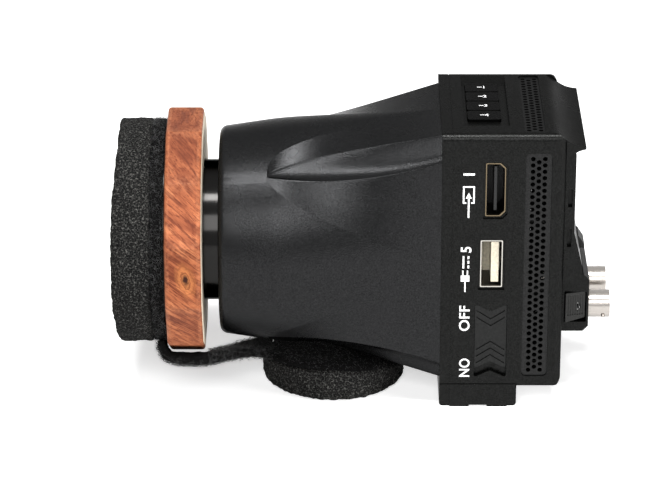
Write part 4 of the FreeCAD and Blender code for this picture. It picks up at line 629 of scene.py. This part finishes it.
def make_ring():
    back, front = ring_low[0], ring_high[0]
    rows = []
    worn = []
    steps = [(back + ring_bevel * (1 - math.cos(turn)), ring_bevel * (1 - math.sin(turn)), 1.0)
             for turn in np.linspace(0, math.pi / 2, 5)]
    steps += [(x, 0.0, 0.0) for x in np.linspace(back + ring_bevel + 0.4, front - ring_bevel - 0.4, 12)]
    steps += [(front - ring_bevel * (1 - math.cos(turn)), ring_bevel * (1 - math.sin(turn)), 1.0)
              for turn in np.linspace(math.pi / 2, 0, 5)]
    for x, inset, edge in steps:
        flat, corner_worn = ring_section(ring_corner_r - inset / math.cos(math.pi / ring_sides), 0.9)
        rows.append(np.column_stack([np.full(len(flat), x), flat[:, 0], flat[:, 1] + axis_z]))
        worn.append(np.maximum(corner_worn, edge))
    outer_rows = len(rows)
    for x, radius in ((front, 27.0), (front, 22.0), (front, ring_bore_r), (back, ring_bore_r), (back, 24.0)):
        turn = np.arctan2(rows[0][:, 1], rows[0][:, 2] - axis_z)
        rows.append(np.column_stack([np.full(len(turn), x), radius * np.sin(turn),
                                     radius * np.cos(turn) + axis_z]))
        worn.append(np.zeros(len(turn)))
    columns = len(rows[0])
    faces = grid_faces(len(rows), columns, wrap_rows=True)
    piece = new_piece("wood_ring", np.concatenate(rows), faces, materials["ring_wood"], "focus_ring")
    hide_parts("focus_ring")
    # The inner face takes the pale painted reflection.
    piece.data.materials.append(glare_painted_wood)
    chosen = [1 if outer_rows - 1 <= index // columns <= outer_rows + 1 else 0 for index in range(len(faces))]
    piece.data.polygons.foreach_set("material_index", chosen)
    attribute = piece.data.attributes.new("edge", "FLOAT", "POINT")
    attribute.data.foreach_set("value", np.concatenate(worn).astype(np.float32))
    sharpen(piece, 40)
    flatten_shading(piece)


make_ring()


# Foam eye cushion

def rounded_profile(corners, step):
    """Points along a closed outline of (u, v, radius) corners, about a step apart."""
    points = []
    for index, (u, v, radius) in enumerate(corners):
        corner = np.array([u, v])
        before = np.array(corners[index - 1][:2]) - corner
        after = np.array(corners[(index + 1) % len(corners)][:2]) - corner
        before = before / np.linalg.norm(before)
        after = after / np.linalg.norm(after)
        half = math.acos(max(-1.0, min(1.0, float(before @ after)))) / 2
        reach = radius / math.tan(half)
        start, end = corner + before * reach, corner + after * reach
        count = max(2, int(round((math.pi - 2 * half) * radius / step)))
        centre = corner + (before + after) / np.linalg.norm(before + after) * (radius / math.sin(half))
        first, last = start - centre, end - centre
        sweep = math.atan2(first[0] * last[1] - first[1] * last[0], float(first @ last))
        for part in range(count + 1):
            turn = sweep * part / count
            points.append(centre + np.array([first[0] * math.cos(turn) - first[1] * math.sin(turn),
                                             first[0] * math.sin(turn) + first[1] * math.cos(turn)]))
    closed = points + [points[0]]
    out = []
    for one, other in zip(closed, closed[1:]):
        count = max(1, int(round(np.linalg.norm(other - one) / step)))
        out += [one + (other - one) * part / count for part in range(count)]
    return np.array(out)


def make_cushion():
    back, front = cushion_low[0] - 0.6, cushion_high[0]
    outer_r = (cushion_high[2] - cushion_low[2]) / 2
    hollow = 1.5
    dish_r = (outer_r ** 2 + hollow ** 2) / (2 * hollow)
    profile = rounded_profile([(front, 18.3, 0.8), (front, outer_r, 0.9), (back, outer_r, 1.5),
                               (back, 18.3, 2.0)], 0.42)
    count = 430
    rows = []
    for turn in np.linspace(0, 2 * math.pi, count, endpoint=False):
        y = profile[:, 1] * math.sin(turn)
        z = profile[:, 1] * math.cos(turn)
        depth = (front - profile[:, 0]) / (front - back)
        sunk = hollow - (dish_r - np.sqrt(dish_r ** 2 - y ** 2))
        rows.append(np.column_stack([profile[:, 0] + sunk * depth, y, z + axis_z]))
    points = np.array(rows)
    normals = grid_normals(points, True, True)
    middle = np.array([(back + front) / 2, 0, axis_z])
    outward = points - middle
    radial = np.linalg.norm(outward[:, :, 1:], axis=2, keepdims=True)
    outward[:, :, 1:] *= (radial - 23.6) / radial
    sign = np.sign(np.sum(normals * outward, axis=2, keepdims=True))
    normals = normals * sign
    lift = np.array([[0.16 * rough(point, 0.9, 2) + 0.22 * rough(point, 2.6, 2) + 0.25 * rough(point, 14.0, 1) - 0.2
                      for point in row] for row in points])
    points = points + normals * lift[:, :, None]
    points[:, :, 0] = np.minimum(points[:, :, 0], front)
    rows, columns = points.shape[:2]
    piece = new_piece("foam_ring", points.reshape(-1, 3), grid_faces(rows, columns, wrap_rows=True),
                      materials["foam"], "eyepiece")
    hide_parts("eye_cushion")


make_cushion()


# Fibres of fleece

def fibres(name, roots, normals, length, width, seed, body, curl=0.6):
    """Short curled fibres that stand on a surface."""
    random = np.random.default_rng(seed)
    points = []
    faces = []
    for root, normal in zip(roots, normals):
        across = np.cross(normal, random.normal(size=3))
        across /= np.linalg.norm(across)
        other = np.cross(normal, across)
        reach = length * random.uniform(0.5, 1.3)
        bend = random.uniform(0.8, 1.6) * curl
        swirl = random.uniform(-1.5, 1.5)
        start = len(points)
        steps = 5
        for step in range(steps):
            share = step / (steps - 1)
            turn = share * bend * 2
            side = math.sin(turn) / max(bend, 0.1) / 1.2
            rise = math.sin(share * min(2.4, 1.2 + bend)) * 0.55
            sway = math.sin(share * 3) * swirl * 0.2
            centre = root + normal * reach * rise + across * reach * side + other * reach * sway
            thick = width * (1 - 0.5 * share)
            for corner in range(3):
                angle = 2 * math.pi * corner / 3
                points.append(centre + (other * math.cos(angle) + normal * math.sin(angle)) * thick)
        for step in range(steps - 1):
            for corner in range(3):
                one = start + step * 3 + corner
                two = start + step * 3 + (corner + 1) % 3
                faces.append((one, two, two + 3, one + 3))
        end = start + (steps - 1) * 3
        faces.append((start, start + 2, start + 1))
        faces.append((end, end + 1, end + 2))
    return new_piece(name, points, faces, fibre_paint, body)


def disc_roots(count, radius, x, seed, spread):
    """Places and outward directions on the rim of a disc about the optical axis."""
    random = np.random.default_rng(seed)
    turn = random.uniform(0, 2 * math.pi, count)
    along = random.uniform(x[0], x[1], count)
    reach = radius + random.uniform(-spread, 0, count)
    roots = np.column_stack([along, reach * np.sin(turn), reach * np.cos(turn) + axis_z])
    normals = np.column_stack([random.normal(0, 0.35, count), np.sin(turn), np.cos(turn)])
    return roots, normals / np.linalg.norm(normals, axis=1, keepdims=True)


def soft_disc(name, corners, rim_r, lump, node, slot, seed):
    """A ring of fleece with a lumpy rim, from the (x, radius, rounding) corners of its section."""
    profile = rounded_profile(corners, 0.5)
    rows = []
    for turn in np.linspace(0, 2 * math.pi, 300, endpoint=False):
        way = np.array([0, math.sin(turn), math.cos(turn)])
        ring = []
        for x, reach in profile:
            point = np.array([x, 0, axis_z]) + way * reach
            rim = max(0.0, (reach - rim_r + 0.6) / 0.6)
            ring.append(point + way * rim * lump * (rough(point + seed, 1.1, 3) + 0.3))
        rows.append(ring)
    points = np.array(rows)
    piece = new_piece(name, points.reshape(-1, 3), grid_faces(points.shape[0], points.shape[1], wrap_rows=True),
                      materials[slot], "eyepiece")
    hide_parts(node)
    return piece


backing_r = 28.4
lip_r = 27.65
hook_r = (hook_high[2] - hook_low[2]) / 2
soft_disc("backing_fleece", [(backing_high[0], 18.3, 0.2), (backing_high[0], lip_r, 0.2), (ring_low[0] - 0.45, lip_r, 0.15),
                             (ring_low[0] - 0.45, backing_r, 0.3), (backing_low[0], backing_r, 0.45),
                             (backing_low[0], 18.3, 0.2)], backing_r, 0.35, "cushion_backing", "fleece", 3.0)
soft_disc("hook_fleece", [(hook_high[0], 18.3, 0.2), (hook_high[0], hook_r, 0.3), (hook_low[0], hook_r, 0.3),
                          (hook_low[0], 18.3, 0.2)], hook_r, 0.0, "hook_ring", "hook_fabric", 7.0)
roots, ways = disc_roots(5200, backing_r, (backing_low[0], ring_low[0] - 0.5), 11, 0.3)
fibres("backing_fibres", roots, ways, 0.95, 0.035, 12, "eyepiece")


# Flap strap, from its fold behind the ring, under the ring and on to the pad

strap_w = 18.0
strap_length = 40.0
view_sin, view_cos = math.sin(camera_elevation), math.cos(camera_elevation)
pad_side_lean = 9.65
pad_mid_top = -34.5
pad_r = (pad_high[1] - pad_low[1]) / 2
pad_x = (pad_low[0] + pad_high[0]) / 2
pad_y = (pad_low[1] + pad_high[1]) / 2
# along the optical axis, below it as the camera sees it, lean, thickness, share of the way to the pad's middle
strap_stations = np.array([(-81.5, 28.7, 24.5, 2.0, 0.0), (-81.5, 29.4, 24.5, 2.0, 0.0), (-81.15, 31.1, 24.5, 2.1, 0.0),
                           (-80.1, 32.7, 24.5, 2.2, 0.0), (-78.0, 33.35, 24.5, 2.8, 0.0),
                           (-74.0, 33.5, 24.5, 3.0, 0.0), (-70.5, 33.4, 24.5, 3.0, 0.0),
                           (-67.0, 32.8, 24.0, 3.0, 0.15), (-64.0, 32.1, 22.0, 2.8, 0.4), (-61.0, 31.4, 19.0, 2.5, 0.65),
                           (-58.0, 30.9, 15.0, 2.1, 0.9), (-56.0, 30.85, 11.0, 1.7, 1.0),
                           (-52.9, 30.85, pad_side_lean, 1.5, 1.0)])


def strap_frames():
    """Centre, sideways way and thickness way of each section of the strap."""
    steps = np.linalg.norm(np.diff(strap_stations[:, :2], axis=0), axis=1)
    along = np.concatenate([[0], np.cumsum(steps)])
    fine = np.arange(0, along[-1], 0.1)
    columns = np.column_stack([np.interp(fine, along, column) for column in strap_stations.T])
    reach = 12
    kernel = np.hanning(2 * reach + 1)
    kernel /= kernel.sum()
    ends = 2 * columns[0] - columns[reach:0:-1], 2 * columns[-1] - columns[-2:-reach - 2:-1]
    padded = np.concatenate([ends[0], columns, ends[1]])
    smooth = np.column_stack([np.convolve(column, kernel, "valid") for column in padded.T])[::5]
    x, below, lean, thick, share = smooth.T
    start_y = -below * view_sin
    y = start_y + (pad_y - start_y) * share
    z = (-below - view_sin * y) / view_cos
    centres = np.column_stack([x, y, z + axis_z])
    turn = np.radians(lean)
    across = np.column_stack([np.zeros(len(x)), np.cos(turn), -np.sin(turn)])
    ways = np.cross(across, np.gradient(centres, axis=0))
    ways /= np.linalg.norm(ways, axis=1, keepdims=True)
    if ways[len(ways) // 2][2] > 0:
        ways = -ways
    return list(zip(centres, across, ways, thick))


def make_strap():
    frames = strap_frames()
    rows = []
    for centre, across, down, thick in frames:
        edge = thick * 0.42
        flat = rounded_profile([(-strap_w / 2, -thick / 2, edge), (strap_w / 2, -thick / 2, edge),
                                (strap_w / 2, thick / 2, edge), (-strap_w / 2, thick / 2, edge)], 0.5)
        rows.append((centre, across, down, flat))
    count = min(len(row[3]) for row in rows)
    points = []
    for centre, across, down, flat in rows:
        places = np.linspace(0, len(flat), count, endpoint=False)
        around = np.vstack([flat, flat[:1]])
        low = places.astype(int)
        share = (places - low)[:, None]
        even = around[low] * (1 - share) + around[low + 1] * share
        ring = centre + even[:, :1] * across + even[:, 1:] * down
        points.append(ring)
    points = np.array(points)
    normals = grid_normals(points, False, True)
    centres = points.mean(1, keepdims=True)
    normals *= np.sign(np.sum(normals * (points - centres), axis=2, keepdims=True))
    lift = np.array([[0.16 * rough(point, 0.8, 2) + 0.12 * rough(point, 2.5, 2) - 0.12 for point in row]
                     for row in points])
    points = points + normals * lift[:, :, None]
    rows, columns = points.shape[:2]
    faces = grid_faces(rows, columns)
    faces.append(tuple(range(columns)))
    faces.append(tuple(reversed(range((rows - 1) * columns, rows * columns))))
    piece = new_piece("strap_band", points.reshape(-1, 3), faces, materials["fleece"], "flap")
    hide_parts("flap_strap")
    random = np.random.default_rng(31)
    places, ways = points.reshape(-1, 3), normals.reshape(-1, 3)
    under_ring = (places[:, 0] < ring_high[0] + 1.2) & (ways @ np.array([0, view_sin, view_cos]) > -0.1)
    by_ring = (places[:, 0] < ring_high[0] + 1.2) & (ways[:, 0] > 0.2)
    open_places = np.flatnonzero(~(under_ring | by_ring))
    chosen = open_places[random.integers(0, len(open_places), 3600)]
    fuzz = fibres("strap_fibres", places[chosen], ways[chosen], 1.2, 0.035, 32, "flap")


make_strap()


# Flap pad, a thick disc of foam with a sewn rim, and the fleece on it

pad_rim = 1.4
pad_front_top = -31.3
pad_front_slope = 0.16
pad_side_slope = 0.17


def pad_top(x, y, lift=0.0, front_lift=0.0):
    """Height of the pad's top at a place."""
    across = pad_mid_top - pad_side_slope * (y - pad_y) + lift
    along = pad_front_top - pad_front_slope * (x - pad_x) + front_lift
    return axis_z + np.minimum(across, along)


def make_pad():
    count = 300
    rows = []
    rim = 2.6
    seam_z = 2.2
    for turn in np.linspace(0, 2 * math.pi, count, endpoint=False):
        way = np.array([math.sin(turn), math.cos(turn)])
        edge_top = float(pad_top(pad_x + way[0] * pad_r, pad_y + way[1] * pad_r))
        column = []
        for reach in np.linspace(0.02, pad_r - rim, 24):
            column.append((reach, 0.0))
        for bend in np.linspace(0, math.pi / 2, 9)[1:]:
            column.append((pad_r - rim + rim * math.sin(bend), -1.0 * (1 - math.cos(bend))))
        sides = []
        for z in np.linspace(edge_top - 1.0, pad_rim, 24)[1:]:
            bulge = -0.35 * math.exp(-((z - seam_z) / 0.6) ** 2)
            sides.append((pad_r + bulge, z))
        for bend in np.linspace(0, math.pi / 2, 9)[1:]:
            sides.append((pad_r - pad_rim * (1 - math.cos(bend)), pad_rim * (1 - math.sin(bend))))
        for reach in np.linspace(pad_r - pad_rim, 0.02, 10)[1:]:
            sides.append((reach, 0.0))
        ring = []
        for reach, drop in column:
            x, y = pad_x + way[0] * reach, pad_y + way[1] * reach
            ring.append((x, y, float(pad_top(x, y)) + drop))
        for reach, z in sides:
            ring.append((pad_x + way[0] * reach, pad_y + way[1] * reach, z))
        rows.append(ring)
    points = np.array(rows)
    normals = grid_normals(points, True, False)
    middle = np.array([pad_x, pad_y, 4.0])
    normals *= np.sign(np.sum(normals * (points - middle), axis=2, keepdims=True))
    fade = np.clip((np.linalg.norm(points[:, :, :2] - middle[:2], axis=2) - 1) / 3, 0, 1)
    lift = np.array([[0.2 * rough(point, 0.9, 2) + 0.2 * rough(point, 2.6, 2) - 0.22 for point in row]
                     for row in points]) * fade
    points = points + normals * lift[:, :, None]
    points[:, :, 2] = np.maximum(points[:, :, 2], 0.0)
    rows, columns = points.shape[:2]
    faces = grid_faces(rows, columns, wrap_rows=True, wrap_columns=False)
    faces.append(tuple(row * columns for row in range(rows)))
    faces.append(tuple(row * columns + columns - 1 for row in reversed(range(rows))))
    piece = new_piece("pad_foam", points.reshape(-1, 3), faces, materials["foam"], "flap")
    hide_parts("flap_pad")


make_pad()


def make_pad_fleece():
    """Fleece over the pad's top, as a thin lumpy sheet with a ragged rim."""
    low, high = low_high("flap_backing")
    reach = pad_r - 0.3
    xs = np.linspace(low[0] + 0.02, high[0] - 0.02, 70)
    rows = []
    for x in xs:
        half = math.sqrt(max(0.2, reach ** 2 - (x - pad_x) ** 2))
        half = min(half, reach)
        ys = pad_y + np.linspace(-half, half, 70)
        top = pad_top(x, ys, 1.6, 0.75)
        under = pad_top(x, ys, 0.03, 0.03)
        blunt = np.sqrt(np.clip(1 - np.abs(np.linspace(-1, 1, 70)) ** 14, 0.05, 1))
        thick = (top - under) * blunt
        upper = np.column_stack([np.full(70, x), ys, under + thick])
        lower = np.column_stack([np.full(70, x), ys, under])[::-1]
        rows.append(np.concatenate([upper, lower]))
    points = np.array(rows)
    for row in points[2:-2]:
        for index in range(3, 67):
            row[index][2] += 0.14 * rough(row[index], 0.8, 2) - 0.1
    rows, columns = points.shape[:2]
    faces = grid_faces(rows, columns)
    faces.append(tuple(range(columns)))
    faces.append(tuple(reversed(range((rows - 1) * columns, rows * columns))))
    piece = new_piece("pad_fleece", points.reshape(-1, 3), faces, materials["fleece"], "flap")
    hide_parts("flap_backing")
    random = np.random.default_rng(41)
    upper = points[:, :70].reshape(-1, 3)
    chosen = upper[random.integers(0, len(upper), 1800)]
    ways = np.tile([0.0, 0.0, 1.0], (len(chosen), 1)) + random.normal(0, 0.3, (len(chosen), 3))
    ways /= np.linalg.norm(ways, axis=1, keepdims=True)
    fuzz = fibres("pad_fibres", chosen, ways, 0.45, 0.035, 42, "flap")


make_pad_fleece()


# White marks on the near side and on the keys

mark_paint = matte_plastic("mark_white", (0.8, 0.8, 0.8), 0.6)
mark_thick = 0.03


def text_mesh(text, height, spread=1.0, bold=0.0):
    """Flat outlines of a text, centred, with capitals of the given height."""
    curve = bpy.data.curves.new("text", "FONT")
    curve.body = text
    curve.size = 1.0
    curve.space_character = spread
    curve.offset = bold
    holder = bpy.data.objects.new("text", curve)
    bpy.context.scene.collection.objects.link(holder)
    bpy.context.view_layer.update()
    mesh = bpy.data.meshes.new_from_object(holder.evaluated_get(bpy.context.evaluated_depsgraph_get()))
    bpy.data.objects.remove(holder)
    points = np.array([vertex.co[:2] for vertex in mesh.vertices])
    faces = [tuple(face.vertices) for face in mesh.polygons]
    bpy.data.meshes.remove(mesh)
    low, high = points.min(0), points.max(0)
    points = (points - (low + high) / 2) * height / (high[1] - low[1])
    return points, faces


def bars(rectangles):
    """Flat rectangles (low u, low v, high u, high v) as outlines."""
    points = []
    faces = []
    for u0, v0, u1, v1 in rectangles:
        start = len(points)
        points += [(u0, v0), (u1, v0), (u1, v1), (u0, v1)]
        faces.append((start, start + 1, start + 2, start + 3))
    return np.array(points, dtype=float), faces


def put_mark(name, shape, origin, along, rise, body="housing", width=None):
    """A thin raised mark on a face, at an origin, reading along one way and rising along another."""
    flat, faces = shape
    if width:
        flat = flat * (width / (flat[:, 0].max() - flat[:, 0].min()), 1)
    origin, along, rise = (np.array(value, dtype=float) for value in (origin, along, rise))
    out = np.cross(along, rise)
    base = origin + flat[:, :1] * along + flat[:, 1:] * rise
    count = len(base)
    points = np.concatenate([base - out * 0.01, base + out * mark_thick])
    solid = [tuple(reversed(face)) for face in faces] + [tuple(index + count for index in face) for face in faces]
    edges = {}
    for face in faces:
        for one, other in zip(face, face[1:] + face[:1]):
            edges[(one, other)] = (other, one) not in edges
            if (other, one) in edges:
                edges[(other, one)] = False
                edges[(one, other)] = False
    solid += [(one, other, other + count, one + count) for (one, other), rim in edges.items() if rim]
    piece = new_piece(name, points, solid, mark_paint, body)
    sharpen(piece, 30)
    return piece


near_y = shell_low[1]
upward = (0, 0, 1)
near_out = (0, -1, 0)
label_x = -3.45
reads_up = {"along": (0, 0, 1), "rise": (-1, 0, 0)}
reads_down = {"along": (0, 0, -1), "rise": (1, 0, 0)}


def place_label(name, shape, x, low_z, high_z, ways):
    """A mark on the near side that fills a height range, given from the optical axis."""
    middle = (x, near_y, axis_z + (low_z + high_z) / 2)
    put_mark(name, shape, middle, width=high_z - low_z, **ways)


place_label("mark_off", text_mesh("OFF", 2.7, 1.05, 0.014), -3.8, -18.9, -11.8, reads_up)
place_label("mark_on", text_mesh("ON", 2.7, 1.05, 0.014), -3.6, -32.0, -26.8, reads_down)
put_mark("mark_power", text_mesh("5", 2.7, 1.0, 0.02), (-3.65, near_y, axis_z + 3.9), **reads_up)
put_mark("mark_direct", bars([(-1.7, 0.4, 1.7, 0.85), (-1.7, -0.85, -0.9, -0.4), (-0.4, -0.85, 0.4, -0.4),
                              (0.9, -0.85, 1.7, -0.4)]), (-3.65, near_y, axis_z + 0.4), **reads_up)
put_mark("mark_plug", bars([(-3.3, -0.18, -0.4, 0.18), (-0.4, -1.1, 1.3, 1.1), (1.3, 0.4, 2.7, 0.75),
                            (1.3, -0.75, 2.7, -0.4)]), (-3.8, near_y, axis_z - 4.6), **reads_up)
label_at = (-3.2, near_y, axis_z + 17.0)
put_mark("mark_screen", bars([(-0.4, -1.5, 4.4, -1.1), (-0.4, 1.1, 4.4, 1.5), (4.0, -1.1, 4.4, 1.1),
                              (-0.4, 0.6, 0.0, 1.1), (-0.4, -1.1, 0.0, -0.6), (-4.3, -0.22, 1.2, 0.22)]),
         label_at, **reads_up)
put_mark("mark_arrow", (np.array([(1.0, 0.8), (1.0, -0.8), (2.6, 0.0)]), [(0, 2, 1)]), label_at, **reads_up)
put_mark("mark_input", text_mesh("1", 2.9, 1.0, 0.02), (-3.2, near_y, axis_z + 24.6), **reads_up)

key_names = sorted(name for name in nodes if name.startswith("function_key_"))
for key_name in key_names:
    key_low, key_high = low_high(key_name)
    number = key_name[-1]
    middle_y = (key_low[1] + key_high[1]) / 2
    top = (1.55, middle_y + 0.1, key_high[2])
    ways = {"along": (1, 0, 0), "rise": (0, 1, 0)}
    put_mark("mark_key_" + number, text_mesh(number, 1.5, 1.0, 0.012), top, body="key_" + number, **ways)
    put_mark("mark_bar_" + number, bars([(-1.7, -0.15, -0.55, 0.15)]), top, body="key_" + number, **ways)


# Light and background

def area_light(name, place, aim, size, power, colour=(1, 1, 1)):
    """A rectangular soft light at a place, turned towards a point, both in millimetres."""
    data = bpy.data.lights.new(name, "AREA")
    data.shape = "RECTANGLE"
    data.size, data.size_y = size[0] * mm, size[1] * mm
    data.energy = power
    data.color = colour
    lamp = bpy.data.objects.new(name, data)
    bpy.context.scene.collection.objects.link(lamp)
    lamp.location = Vector(place) * mm
    lamp.rotation_mode = "QUATERNION"
    lamp.rotation_quaternion = (Vector(aim) - Vector(place)).to_track_quat("-Z", "Y")
    return lamp


def seen_directly(tree):
    """One for a ray from the camera, a mirror or glass, and nothing for the light on a surface."""
    path = tree.nodes.new("ShaderNodeLightPath")
    direct = path.outputs["Is Camera Ray"]
    for ray in ("Is Glossy Ray", "Is Transmission Ray"):
        either = tree.nodes.new("ShaderNodeMath")
        either.operation = "MAXIMUM"
        tree.links.new(direct, either.inputs[0])
        tree.links.new(path.outputs[ray], either.inputs[1])
        direct = either.outputs[0]
    return direct


def make_world():
    """White where it is seen, and a weak soft light on the rest."""
    world = bpy.data.worlds.new("world")
    bpy.context.scene.world = world
    world.use_nodes = True
    tree = world.node_tree
    background = tree.nodes["Background"]
    background.inputs["Color"].default_value = (1, 1, 1, 1)
    strength = tree.nodes.new("ShaderNodeMapRange")
    tree.links.new(seen_directly(tree), strength.inputs["Value"])
    strength.inputs["To Min"].default_value = world_light
    strength.inputs["To Max"].default_value = 1.0
    tree.links.new(strength.outputs["Result"], background.inputs["Strength"])


def make_floor():
    """A pale floor that keeps the object's shadow and is white where it is seen in full light."""
    size = 4000.0
    corners = [(-size, -size, 0), (size, -size, 0), (size, size, 0), (-size, size, 0)]
    mesh = bpy.data.meshes.new("floor")
    mesh.from_pydata([tuple(value * mm for value in corner) for corner in corners], [], [(0, 1, 2, 3)])
    thing = bpy.data.objects.new("floor", mesh)
    bpy.context.scene.collection.objects.link(thing)
    paint = bpy.data.materials.new("floor")
    paint.use_nodes = True
    tree = paint.node_tree
    tree.nodes.clear()
    diffuse = tree.nodes.new("ShaderNodeBsdfDiffuse")
    diffuse.inputs["Color"].default_value = (0.8, 0.8, 0.8, 1)
    glow = tree.nodes.new("ShaderNodeEmission")
    lift = tree.nodes.new("ShaderNodeMath")
    lift.operation = "MULTIPLY"
    lift.inputs[1].default_value = floor_glow
    tree.links.new(seen_directly(tree), lift.inputs[0])
    tree.links.new(lift.outputs[0], glow.inputs["Strength"])
    both = tree.nodes.new("ShaderNodeAddShader")
    tree.links.new(diffuse.outputs[0], both.inputs[0])
    tree.links.new(glow.outputs[0], both.inputs[1])
    output = tree.nodes.new("ShaderNodeOutputMaterial")
    tree.links.new(both.outputs[0], output.inputs["Surface"])
    mesh.materials.append(paint)


world_light = 0.06
floor_glow = 0.6
make_world()
make_floor()
area_light("key", (-120, -640, 480), (-30, 0, 40), (420, 340), 3.6)
area_light("strip", (-50, -170, 740), (-30, 0, 40), (520, 140), 8)
area_light("right", (620, -300, 200), (-30, 0, 40), (220, 220), 4)
bpy.context.scene.view_settings.view_transform = "Standard"
